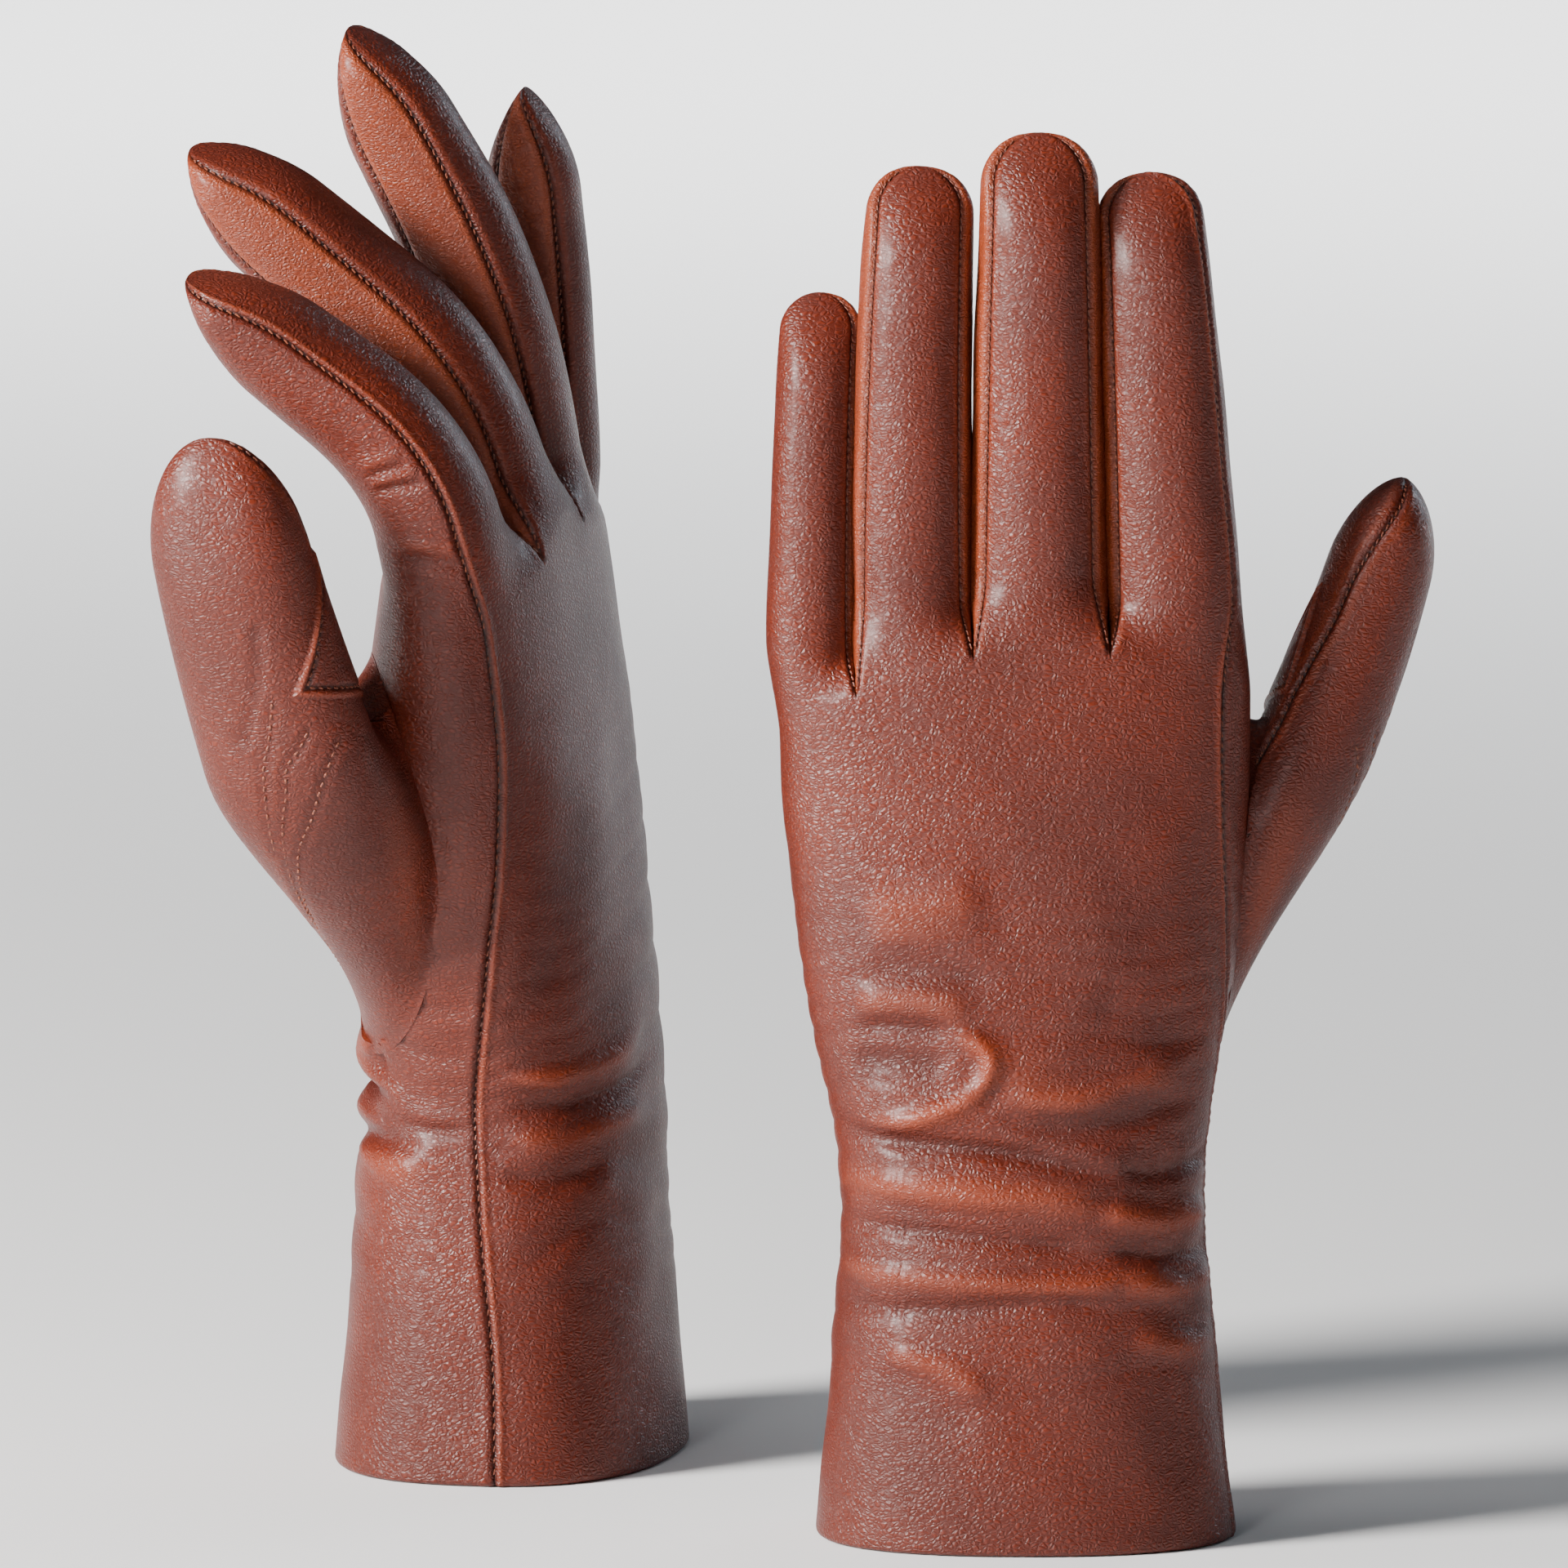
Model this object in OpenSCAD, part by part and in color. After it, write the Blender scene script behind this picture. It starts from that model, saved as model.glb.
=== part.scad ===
// A pair of slim leather gloves that stand on their cuffs, as full as if worn.
// The left glove shows its back. The right glove shows its thumb side, with bent fingers.
// Each glove is laid out in its own directions first: r towards the thumb, p towards the
// palm and z up, from the middle of its cuff. The function place() stands it in the pair.

/* [Pair] */
// Size of the right glove, as a share of the left glove's
right_scale = 1.08; // [1:0.01:1.1]
// Turn of the right glove about the upright, in degrees
right_turn = 14; // [8:1:18]
// Lean of the right glove above its wrist, towards its thumb, in degrees
right_lean = 10; // [6:1:12]

/* [Hand] */
// Width of the cuff at the hem
cuff_width = 75; // [70:0.5:80]
// Depth of the cuff at the hem, back to palm
cuff_depth = 56.6; // [52:0.2:60]
// Width of the wrist
wrist_width = 64.8; // [62:0.2:68]
// Depth of the wrist
wrist_depth = 47.6; // [44:0.2:50]
// Height of the wrist above the hem
wrist_height = 66; // [60:1:70]
// Width across the palm at the knuckles
palm_width = 84; // [82:0.5:88]
// Depth at the knuckles
knuckle_depth = 28; // [26:0.5:32]
// Height of the knuckle line at the middle finger
knuckle_height = 159; // [157:0.5:161]

/* [Material] */
// Thickness of the leather
leather = 0.9; // [0.7:0.1:1.1]
// Thickness of the knitted lining
lining = 0.9; // [0.7:0.1:1]
// Width of the turned-up hem inside the cuff
hem_width = 11; // [8:1:16]
// Width of the elastic at the wrist
elastic_width = 8; // [6:1:10]

/* [Hidden] */
// Room between a finger and the hand that it bends on
joint_gap = 0.3;
// Room between two pieces that lie on each other in one glove
layer_gap = 0.3;
// Squareness of the sections: 2 is an ellipse and more is squarer
hand_power = 2.4;
finger_power = 2.3;
// Drop of the knuckle line away from the middle finger, per mm squared
knuckle_drop = 0.0068;
knuckle_middle = 4;
// Steps that a finger's middle line is added up in
spine_steps = 24;
// Rows and columns of the faceted skins
finger_rows = 9;
hand_rows = [0, 0.08, 0.24, 0.42, 0.56, 0.7, 0.84, 0.94, 1];

// Columns of the hand's table: height, then middle and half size across, and the same in depth
HAND = [
    [0, 0, cuff_width / 2, 0, cuff_depth / 2],
    [30, -0.4, mix(cuff_width, wrist_width, 0.6) / 2, 0, mix(cuff_depth, wrist_depth, 0.55) / 2],
    [wrist_height, -0.9, wrist_width / 2, 0, wrist_depth / 2],
    [100, -1.6, mix(wrist_width, palm_width, 0.6) / 2, 0.5, 21.8],
    [130, -2, mix(wrist_width, palm_width, 0.92) / 2, 0.5, 18.8],
    [160, -2.4, palm_width / 2, -0.3, knuckle_depth / 2]
];

// Fields of a finger: middle of its root, length along its middle line, half width at root and
// tip, half depth at root and tip, lean towards the thumb and bend towards the palm at root and
// tip, the share of the length by which the bend is done, and how width and depth close at the
// tip: the length that they close over, and 0.5 for a round end or 1 for a pinched one.
BASE = 0;
LENGTH = 1;
WIDTH = 2;
DEPTH = 3;
LEAN = 4;
BEND = 5;
KNEE = 6;
WIDTH_END = 7;
DEPTH_END = 8;

THUMB = 0;
INDEX = 1;
MIDDLE = 2;
RING = 3;
LITTLE = 4;
FINGERS = [THUMB, INDEX, MIDDLE, RING, LITTLE];
FINGER_NAMES = ["thumb", "index", "middle", "ring", "little"];

LEFT_FINGERS = [
    [[51.5, 14, 140], 52, [10.6, 8.8], [13.5, 11.5], [24, 13], [12, 8], 1, [26, 1], [11, 0.5]],
    [[27, 0, 156], 87, [11.2, 8.6], [11.5, 9], [-2, -5], [2, 8], 1, [8, 0.5], [20, 1]],
    [[2, -1, 159], 91, [10.8, 9.2], [11.8, 9.2], [0, 0], [2, 6], 1, [9, 0.5], [20, 1]],
    [[-20.3, -0.5, 155], 89, [9.9, 8.4], [11.2, 8.8], [-1, 3], [2, 8], 1, [8, 0.5], [20, 1]],
    [[-38.3, 0.5, 147], 74.5, [7.4, 6.6], [9.8, 7.6], [-1, 4], [2, 10], 1, [7, 0.5], [18, 1]]
];
RIGHT_FINGERS = [
    [[54, 24, 138], 55, [10.6, 8.8], [14.5, 12.5], [4, 2], [14, 0], 1, [26, 1], [12, 0.5]],
    [[27, 0, 156], 73, [11, 8.4], [10.8, 8], [2, 10], [0, 50], 0.6, [8, 0.5], [20, 1]],
    [[2, -1, 159], 85, [10.8, 9.2], [11.8, 9], [0, 3], [6, 48], 0.6, [9, 0.5], [20, 1]],
    [[-20.3, -0.5, 155], 90, [9.9, 8.4], [11.2, 8.8], [-1, 0], [2, 27], 0.8, [8, 0.5], [20, 1]],
    [[-38.3, 0.5, 147], 77, [7.4, 6.6], [9.8, 7.6], [-5, -3], [-2, 4], 1, [7, 0.5], [18, 1]]
];

// Fields of a glove: name, whether it is mirrored, fingers, cuff's middle in the pair,
// size, turn, lean, and the ring inside the hand that the thumb's root starts from:
// its middle, half width and half depth.
NAME = 0;
MIRRORED = 1;
HAS_FINGERS = 2;
CUFF_AT = 3;
SIZE = 4;
TURN = 5;
TILT = 6;
THUMB_ROOT = 7;
LEFT = ["left", false, LEFT_FINGERS, [43.1, -48.6], 1, 0, 0, [[20, 3, 76], 10, 14]];
RIGHT = ["right", true, RIGHT_FINGERS, [-49.4, 36.4], right_scale, right_turn, right_lean,
    [[21, 5, 78], 10, 14]];
GLOVES = [LEFT, RIGHT];

// The pieces that each finger's skin is cut into: name, first and last angle round the finger,
// where 0 is the thumb's side, 90 the palm and 180 the little finger's side, and columns
SEAM = 34;
// The fourchettes stop this angle short of the seams
SEAM_GAP = 0.5;
WRAP = [["leather", 0, 360, 14]];
INDEX_PIECES = [
    ["leather", 180 + SEAM, 540 - SEAM, 13],
    ["fourchette", 180 - SEAM + SEAM_GAP, 180 + SEAM - SEAM_GAP, 4]
];
MIDDLE_PIECES = [
    ["back_leather", 180 + SEAM, 360 - SEAM, 5],
    ["palm_leather", SEAM, 180 - SEAM, 5],
    ["thumb_side_fourchette", SEAM_GAP - SEAM, SEAM - SEAM_GAP, 4],
    ["little_side_fourchette", 180 - SEAM + SEAM_GAP, 180 + SEAM - SEAM_GAP, 4]
];
LITTLE_PIECES = [["leather", SEAM, 360 - SEAM, 13], ["fourchette", SEAM_GAP - SEAM, SEAM - SEAM_GAP, 4]];
PIECES = [WRAP, INDEX_PIECES, MIDDLE_PIECES, MIDDLE_PIECES, LITTLE_PIECES];

// The forks between the fingers: name, place across the hand and half depth
FORKS = [["index_middle_quirk", 14.5, 11.4], ["middle_ring_quirk", -9.7, 12.2], ["ring_little_quirk", -30.6, 9]];
quirk_half_width = 2.6;
HAND_PIECES = ["hand_leather", "hand_lining", "cuff_hem", "wrist_elastic", "side_seam_thread",
    "thumb_base_leather", "thumb_quirk"];

function piece_name(glove, finger, piece) = str(glove[NAME], "_", FINGER_NAMES[finger], "_", piece);

// ---- Curves ----

function mix(a, b, k) = a + (b - a) * k;
function limit(x) = min(max(x, 0), 1);
function smooth(x) = let (c = limit(x)) c * c * (3 - 2 * c);
function shaped(x, power) = sign(x) * pow(abs(x), 2 / power);

// Slope of column c of a table at row i, from the rows on either side
function slope(table, c, i) = let (a = max(i - 1, 0), b = min(i + 1, len(table) - 1))
    (table[b][c] - table[a][c]) / (table[b][0] - table[a][0]);

// Column c of a table at height z, on a smooth curve through its rows
function lookup_smooth(table, c, z) = let (
        i = max([for (k = [0:len(table) - 2]) table[k][0] <= z ? k : 0]),
        h = table[i + 1][0] - table[i][0],
        t = (z - table[i][0]) / h)
    (2 * t * t * t - 3 * t * t + 1) * table[i][c]
    + (t * t * t - 2 * t * t + t) * h * slope(table, c, i)
    + (3 * t * t - 2 * t * t * t) * table[i + 1][c]
    + (t * t * t - t * t) * h * slope(table, c, i + 1);

// ---- Where a glove's points go in the pair ----

function leaned(point, tilt) = let (
        start = wrist_height - 20,
        angle = tilt * smooth((point[2] - start) / 40),
        rise = point[2] - wrist_height)
    point[2] < start ? point : [
        point[0] * cos(angle) + rise * sin(angle),
        point[1],
        wrist_height + rise * cos(angle) - point[0] * sin(angle)];

function turned(point, angle) = [
    point[0] * cos(angle) - point[1] * sin(angle),
    point[1] * cos(angle) + point[0] * sin(angle),
    point[2]];

// The left glove's palm faces away from the viewer, and the right glove's faces left
function place(glove, point) = let (
        p = glove[SIZE] * turned(leaned(point, glove[TILT]), glove[TURN]),
        at = glove[CUFF_AT])
    glove[MIRRORED] ? [at[0] - p[1], at[1] - p[0], p[2]] : [at[0] + p[0], at[1] + p[1], p[2]];

// ---- Fingers ----

function heading(finger, t) = [
    mix(finger[LEAN][0], finger[LEAN][1], t),
    mix(finger[BEND][0], finger[BEND][1], smooth(t / finger[KNEE]))];
function along(h) = [sin(h[0]), cos(h[0]) * sin(h[1]), cos(h[0]) * cos(h[1])];
function across(h) = [cos(h[0]), -sin(h[0]) * sin(h[1]), -sin(h[0]) * cos(h[1])];
function palmward(h) = [0, cos(h[1]), -sin(h[1])];

// The middle line, added up in short steps along the finger's heading
function spine(finger) = let (step = finger[LENGTH] / spine_steps) [
    for (i = 0, p = finger[BASE]; i <= spine_steps;
         p = p + step * along(heading(finger, (i + 0.5) / spine_steps)), i = i + 1) p];

function spine_at(line, t) = let (
        s = limit(t) * spine_steps,
        i = min(floor(s), spine_steps - 1))
    mix(line[i], line[i + 1], s - i);

// Share of the full size that is left at t, where the last stretch closes
function closing(finger, end, t) = let (x = limit(1 - (1 - t) * finger[LENGTH] / end[0]))
    max(pow(1 - x * x, end[1]), 0.05);

// A half size with a skin's depth taken off it, which never turns inside out
function pared(half, inset) = max(half - inset, half * (0.5 - 0.12 * inset));

function finger_point(finger, line, t, angle, inset) = let (
        h = heading(finger, t),
        w = closing(finger, finger[WIDTH_END], t) * mix(finger[WIDTH][0], finger[WIDTH][1], t),
        d = closing(finger, finger[DEPTH_END], t) * mix(finger[DEPTH][0], finger[DEPTH][1], t))
    spine_at(line, t)
    + pared(w, inset) * shaped(cos(angle), finger_power) * across(h)
    + pared(d, inset) * shaped(sin(angle), finger_power) * palmward(h);

function knuckle_line(r) = knuckle_height - knuckle_drop * pow(r - knuckle_middle, 2);

// The first fifth of a finger is drawn towards the knuckle line, so that its root lies on it
function rooted_point(finger, line, t, angle, inset) = let (
        point = finger_point(finger, line, t, angle, inset),
        root = finger_point(finger, line, 0, angle, inset),
        pull = pow(limit(1 - t / 0.2), 2))
    [point[0], point[1], point[2] + pull * (knuckle_line(root[0]) + joint_gap - root[2])];

// Rows from root to tip, closer together towards the tip
function finger_skin(glove, kind, from, to, columns, inset, rows, short) = let (
        finger = glove[HAS_FINGERS][kind],
        line = spine(finger),
        reach = 1 - short / finger[LENGTH])
    [for (i = [0:rows]) let (t = reach * (1 - pow(1 - i / rows, 1.8)))
        [for (j = [0:columns]) let (angle = mix(from, to, j / columns))
            place(glove, kind == THUMB ? finger_point(finger, line, t, angle, inset)
                : rooted_point(finger, line, t, angle, inset))]];

// ---- Hand and thumb root ----

function hand_point(z, angle, inset) = [
    lookup_smooth(HAND, 1, z) + (lookup_smooth(HAND, 2, z) - inset) * shaped(cos(angle), hand_power),
    lookup_smooth(HAND, 3, z) + (lookup_smooth(HAND, 4, z) - inset) * shaped(sin(angle), hand_power),
    z];

// Rows from the numbered one, where 0 is at the cuff, to the share top of the knuckle line
function hand_skin(glove, inset, first_row, top, columns) = [
    for (i = [first_row:len(hand_rows) - 1]) [
        for (j = [0:columns]) let (
                share = top * hand_rows[i],
                point = hand_point(knuckle_height * share, 360 * j / columns, inset))
            place(glove, [point[0], point[1], share * knuckle_line(point[0])])]];

function band_skin(glove, inset, bottom, top, from, to, columns, rows) = [
    for (i = [0:rows]) [
        for (j = [0:columns])
            place(glove, hand_point(mix(bottom, top, i / rows), mix(from, to, j / columns), inset))]];

// A straight run of rings from inside the hand to the thumb's first ring, by share 0 to 1
function thumb_root_point(glove, share, angle, inset) = let (
        finger = glove[HAS_FINGERS][THUMB],
        h = heading(finger, 0),
        inner = glove[THUMB_ROOT],
        w = mix(inner[1], finger[WIDTH][0], share) - inset,
        d = mix(inner[2], finger[DEPTH][0], share) - inset)
    mix(inner[0], finger[BASE] - joint_gap * along(h), share)
    + w * shaped(cos(angle), finger_power) * across(h)
    + d * shaped(sin(angle), finger_power) * palmward(h);

function thumb_root_skin(glove, inset, from, to, first, last, columns, rows) = [
    for (i = [0:rows]) [
        for (j = [0:columns])
            place(glove, thumb_root_point(glove, mix(first, last, i / rows), mix(from, to, j / columns), inset))]];

// ---- Solids from skins ----

// The two triangles of each cell between two rows of points, numbered from start
function cells(rows, columns, width, start, flip) = [
    for (i = [0:rows - 1], j = [0:columns - 1]) let (
            a = start + i * width + j,
            b = start + i * width + (j + 1) % width,
            c = b + width,
            d = a + width)
        each flip ? [[a, b, c], [a, c, d]] : [[a, c, b], [a, d, c]]];

// A wall between an outer and an inner skin that both run all the way round
module ring_wall(glove, outer, inner) {
    rows = len(outer) - 1;
    columns = len(outer[0]) - 1;
    skin = [for (side = [outer, inner], row = side, j = [0:columns - 1]) row[j]];
    half = (rows + 1) * columns;
    rims = [for (k = [0, 1], j = [0:columns - 1]) let (
            a = k * rows * columns + j,
            b = k * rows * columns + (j + 1) % columns)
        each (k == 0) != glove[MIRRORED]
            ? [[a, b, b + half], [a, b + half, a + half]]
            : [[a, b + half, b], [a, a + half, b + half]]];
    polyhedron(skin, concat(
        cells(rows, columns, columns, 0, glove[MIRRORED]),
        cells(rows, columns, columns, half, !glove[MIRRORED]),
        rims));
}

// A wall between two open skins, closed along all four edges
module strip_wall(glove, outer, inner) {
    rows = len(outer) - 1;
    width = len(outer[0]);
    skin = [for (side = [outer, inner], row = side, point = row) point];
    half = (rows + 1) * width;
    edge = concat(
        [for (j = [0:width - 2]) j],
        [for (i = [0:rows - 1]) i * width + width - 1],
        [for (j = [0:width - 2]) half - 1 - j],
        [for (i = [0:rows - 1]) (rows - i) * width]);
    sides = [for (k = [0:len(edge) - 1]) let (a = edge[k], b = edge[(k + 1) % len(edge)])
        each glove[MIRRORED]
            ? [[a, b + half, b], [a, a + half, b + half]]
            : [[a, b, b + half], [a, b + half, a + half]]];
    polyhedron(skin, concat(
        cells(rows, width - 1, width, 0, glove[MIRRORED]),
        cells(rows, width - 1, width, half, !glove[MIRRORED]),
        sides));
}

// A full solid inside one skin, with flat ends
module filled(glove, outer) {
    rows = len(outer) - 1;
    columns = len(outer[0]) - 1;
    skin = [for (row = outer, j = [0:columns - 1]) row[j]];
    last = rows * columns;
    ends = [for (j = [1:columns - 2]) each glove[MIRRORED]
        ? [[0, j + 1, j], [last, last + j, last + j + 1]]
        : [[0, j, j + 1], [last, last + j + 1, last + j]]];
    polyhedron(skin, concat(cells(rows, columns, columns, 0, glove[MIRRORED]), ends));
}

// Cuts made here are made on the facets themselves
module as_one_mesh() {
    resize([0, 0, 0]) children();
}

// ---- Pieces on the hand ----

module tan_leather() {
    color([0.56, 0.24, 0.16]) children();
}

module lining_knit() {
    color([0.27, 0.17, 0.13]) children();
}

module seam_thread() {
    color([0.2, 0.1, 0.08]) children();
}

module thumb_root_solid(glove, inset) {
    filled(glove, thumb_root_skin(glove, inset, 0, 360, 0, 1.02, 20, 1));
}

module hand_solid(glove, inset) {
    filled(glove, hand_skin(glove, inset, 0, 1, 28));
}

module hand_leather(glove) {
    tan_leather() as_one_mesh() difference() {
        ring_wall(glove, hand_skin(glove, 0, 0, 1, 28), hand_skin(glove, leather, 0, 1, 28));
        thumb_root_solid(glove, 0);
    }
}

module thumb_root_wall(glove, outer, inner) {
    ring_wall(glove,
        thumb_root_skin(glove, outer, 0, 360, 0, 1, 20, 3),
        thumb_root_skin(glove, inner, 0, 360, 0, 1, 20, 3));
}

module hand_lining(glove) {
    outer = leather + layer_gap;
    inner = outer + lining;
    lining_knit() as_one_mesh() {
        difference() {
            ring_wall(glove,
                hand_skin(glove, outer, 1, 0.99, 28),
                hand_skin(glove, inner, 1, 0.99, 28));
            thumb_root_solid(glove, outer);
        }
        difference() {
            thumb_root_wall(glove, outer, inner);
            hand_solid(glove, outer);
        }
    }
}

module cuff_hem(glove) {
    tan_leather() ring_wall(glove,
        band_skin(glove, leather + 0.15, 0, hem_width, 0, 360, 28, 1),
        band_skin(glove, 2 * leather + 0.1, 0, hem_width, 0, 360, 28, 1));
}

module wrist_elastic(glove) {
    under = leather + lining + 2 * layer_gap;
    bottom = wrist_height - elastic_width / 2;
    lining_knit() strip_wall(glove,
        band_skin(glove, under, bottom, bottom + elastic_width, 35, 145, 6, 1),
        band_skin(glove, under + 0.8, bottom, bottom + elastic_width, 35, 145, 6, 1));
}

module side_seam_thread(glove) {
    seam_thread() strip_wall(glove,
        band_skin(glove, -1, 0, 146, -29, -26, 1, 12),
        band_skin(glove, -0.6, 0, 146, -29, -26, 1, 12));
}

// The part of the thumb's root that faces the index finger
module thumb_quirk_block(glove) {
    strip_wall(glove,
        thumb_root_skin(glove, -1, 150, 215, 0.62, 1.01, 4, 1),
        thumb_root_skin(glove, 2, 150, 215, 0.62, 1.01, 4, 1));
}

module thumb_base_leather(glove) {
    tan_leather() as_one_mesh() difference() {
        thumb_root_wall(glove, 0, leather);
        hand_solid(glove, 0);
        thumb_quirk_block(glove);
    }
}

module thumb_quirk(glove) {
    tan_leather() as_one_mesh() intersection() {
        difference() {
            thumb_root_wall(glove, 0, leather);
            hand_solid(glove, 0);
        }
        thumb_quirk_block(glove);
    }
}

// A small bridge between the back and the palm, where two fingers part
module fork_quirk(glove, fork) {
    function bridge(drop) = [
        for (i = [0:4]) [
            for (j = [0:2]) let (
                    r = fork[1] + mix(-quirk_half_width, quirk_half_width, j / 2),
                    p = mix(fork[2], -fork[2], i / 4) - 0.3)
                place(glove, [r, p, knuckle_line(r) - drop])]];
    tan_leather() strip_wall(glove, bridge(0.1), bridge(leather));
}

// ---- Pieces on the fingers ----

module finger_leather(glove, kind, piece) {
    from = piece[1];
    to = piece[2];
    outer = finger_skin(glove, kind, from, to, piece[3], 0, finger_rows, 0);
    inner = finger_skin(glove, kind, from, to, piece[3], leather, finger_rows, 1);
    tan_leather() if (to - from == 360) {
        ring_wall(glove, outer, inner);
    } else {
        strip_wall(glove, outer, inner);
    }
}

module finger_lining(glove, kind) {
    outer = leather + layer_gap;
    lining_knit() ring_wall(glove,
        finger_skin(glove, kind, 0, 360, 12, outer, finger_rows, 4),
        finger_skin(glove, kind, 0, 360, 12, outer + lining, finger_rows, 5));
}

// ---- The pair ----

for (glove = GLOVES) {
    hand_leather(glove);
    hand_lining(glove);
    cuff_hem(glove);
    wrist_elastic(glove);
    side_seam_thread(glove);
    thumb_base_leather(glove);
    thumb_quirk(glove);
    for (fork = FORKS) {
        fork_quirk(glove, fork);
    }
    for (kind = FINGERS, piece = PIECES[kind]) {
        finger_leather(glove, kind, piece);
    }
    for (kind = FINGERS) {
        finger_lining(glove, kind);
    }
}
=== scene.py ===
"""A pair of leather dress gloves standing on their cuffs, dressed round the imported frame.

Lengths are in millimetres until a mesh is made. In a glove's own axes r runs from the little finger's
side to the thumb's side, p from the back of the hand to the palm, and z up from the cuff.
"""
import logging
import math
from dataclasses import dataclass, field
from enum import Enum
from typing import Callable, Sequence

import bpy
import numpy as np
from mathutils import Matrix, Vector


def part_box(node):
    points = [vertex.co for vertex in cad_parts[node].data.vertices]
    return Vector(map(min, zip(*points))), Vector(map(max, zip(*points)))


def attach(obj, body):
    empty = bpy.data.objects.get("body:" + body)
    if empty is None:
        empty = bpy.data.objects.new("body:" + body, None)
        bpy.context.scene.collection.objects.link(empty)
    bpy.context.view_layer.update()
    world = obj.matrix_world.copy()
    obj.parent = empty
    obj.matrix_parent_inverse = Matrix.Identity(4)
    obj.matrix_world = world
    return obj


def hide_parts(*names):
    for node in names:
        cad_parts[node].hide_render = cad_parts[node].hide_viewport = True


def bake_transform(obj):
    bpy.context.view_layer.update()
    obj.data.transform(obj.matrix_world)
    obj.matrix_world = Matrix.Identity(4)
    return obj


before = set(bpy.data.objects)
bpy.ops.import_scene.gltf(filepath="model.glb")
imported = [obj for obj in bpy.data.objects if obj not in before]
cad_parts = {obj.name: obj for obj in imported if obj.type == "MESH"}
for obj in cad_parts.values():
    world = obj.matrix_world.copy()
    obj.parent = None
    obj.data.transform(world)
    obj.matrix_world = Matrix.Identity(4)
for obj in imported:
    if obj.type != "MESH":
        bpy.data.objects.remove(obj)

Array = np.ndarray
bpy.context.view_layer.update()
LOG = logging.getLogger("gloves")
TO_METRES = 0.001


# ---- Plain curves ----

def mix(a: Array | float, b: Array | float, share: Array | float) -> Array | float:
    """The value a share of the way from a to b."""
    return a + (b - a) * share


def smooth(x: Array | float) -> Array:
    """A rise from 0 to 1 with level ends: 3 x squared less 2 x cubed, for x held to 0 and 1."""
    held = np.clip(x, 0.0, 1.0)
    return held * held * (3.0 - 2.0 * held)


def bump(x: Array, width: float) -> Array:
    """A bell of height 1: e to the power of minus the square of x over the width."""
    return np.exp(-(x / width) ** 2)


def shaped(x: Array, power: float) -> Array:
    """A cosine or sine bent to a superellipse: its size to the power of 2 over the given power."""
    return np.sign(x) * np.abs(x) ** (2.0 / power)


def unit(vectors: Array) -> Array:
    """Vectors divided by their lengths."""
    return vectors / np.maximum(np.linalg.norm(vectors, axis=-1, keepdims=True), 1e-12)


def through(knots: Array, values: Array, x: Array) -> Array:
    """A smooth curve through a table's values.

    Each span is a cubic that starts and ends with the slope between its neighbours' values.

    Args:
        knots: Places of the values, rising.
        values: The values at the knots.
        x: Where the curve is wanted; it is held to the knots' range.

    Returns:
        The curve's values, in the shape of x.
    """
    slopes = np.empty(len(knots))
    slopes[1:-1] = (values[2:] - values[:-2]) / (knots[2:] - knots[:-2])
    slopes[0] = (values[1] - values[0]) / (knots[1] - knots[0])
    slopes[-1] = (values[-1] - values[-2]) / (knots[-1] - knots[-2])
    held = np.clip(x, knots[0], knots[-1])
    span = np.clip(np.searchsorted(knots, held, side="right") - 1, 0, len(knots) - 2)
    width = knots[span + 1] - knots[span]
    u = (held - knots[span]) / width
    rise = u * u * (3.0 - 2.0 * u)
    return (values[span] * (1.0 - rise) + values[span + 1] * rise
            + width * (slopes[span] * u * (1.0 - u) ** 2 - slopes[span + 1] * u * u * (1.0 - u)))


def spread(start: float, end: float, crowded: Sequence[float], near: float, far: float) -> Array:
    """Places from start to end that stand closer together beside the crowded ones.

    The spacing grows from near to far over seven degrees away from a crowded place, and the places are
    even steps of the running total of one over the spacing.

    Args:
        start: First place, in degrees.
        end: Last place.
        crowded: Places, such as seams, that need fine spacing.
        near: Spacing at a crowded place.
        far: Spacing far from them.

    Returns:
        The places, which include both ends and every crowded place between them.
    """
    stops = sorted({start, end, *[c for c in crowded if start < c < end]})
    runs = []
    for first, last in zip(stops[:-1], stops[1:]):
        fine = np.linspace(first, last, 400)
        away = np.min([np.abs(fine - c) for c in crowded] or [np.full(400, 1e3)], axis=0)
        spacing = near + (far - near) * smooth((away - 6.0) / 14.0)
        total = np.concatenate([[0.0], np.cumsum(0.5 * (1 / spacing[1:] + 1 / spacing[:-1]))])
        total *= (last - first) / 399.0
        count = max(2, int(round(total[-1])))
        runs.append(np.interp(np.linspace(0.0, total[-1], count + 1), total, fine)[:-1])
    return np.concatenate([*runs, [end]])


# ---- Shapes of a hand and a finger ----

HAND_POWER = 2.4
FINGER_POWER = 2.3
KNUCKLE_HEIGHT = 159.0
KNUCKLE_DROP = 0.0068
KNUCKLE_MIDDLE = 4.0
TAPER = 1.4
# Height, middle and half size across, middle and half size in depth
HAND_TABLE = np.array([
    [0.0, 0.0, 37.5, 0.0, 28.3], [30.0, -0.4, 34.44, 0.0, 25.825], [66.0, -0.9, 32.4, 0.0, 23.8],
    [100.0, -1.6, 38.16, 0.5, 21.8], [130.0, -2.0, 41.232, 0.5, 18.8], [160.0, -2.4, 42.0, -0.3, 14.0]])


def knuckle_line(r: Array | float) -> Array | float:
    """Height where fingers leave the hand: an arch that drops with the square of the way from its top."""
    return KNUCKLE_HEIGHT - KNUCKLE_DROP * (r - KNUCKLE_MIDDLE) ** 2


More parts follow.
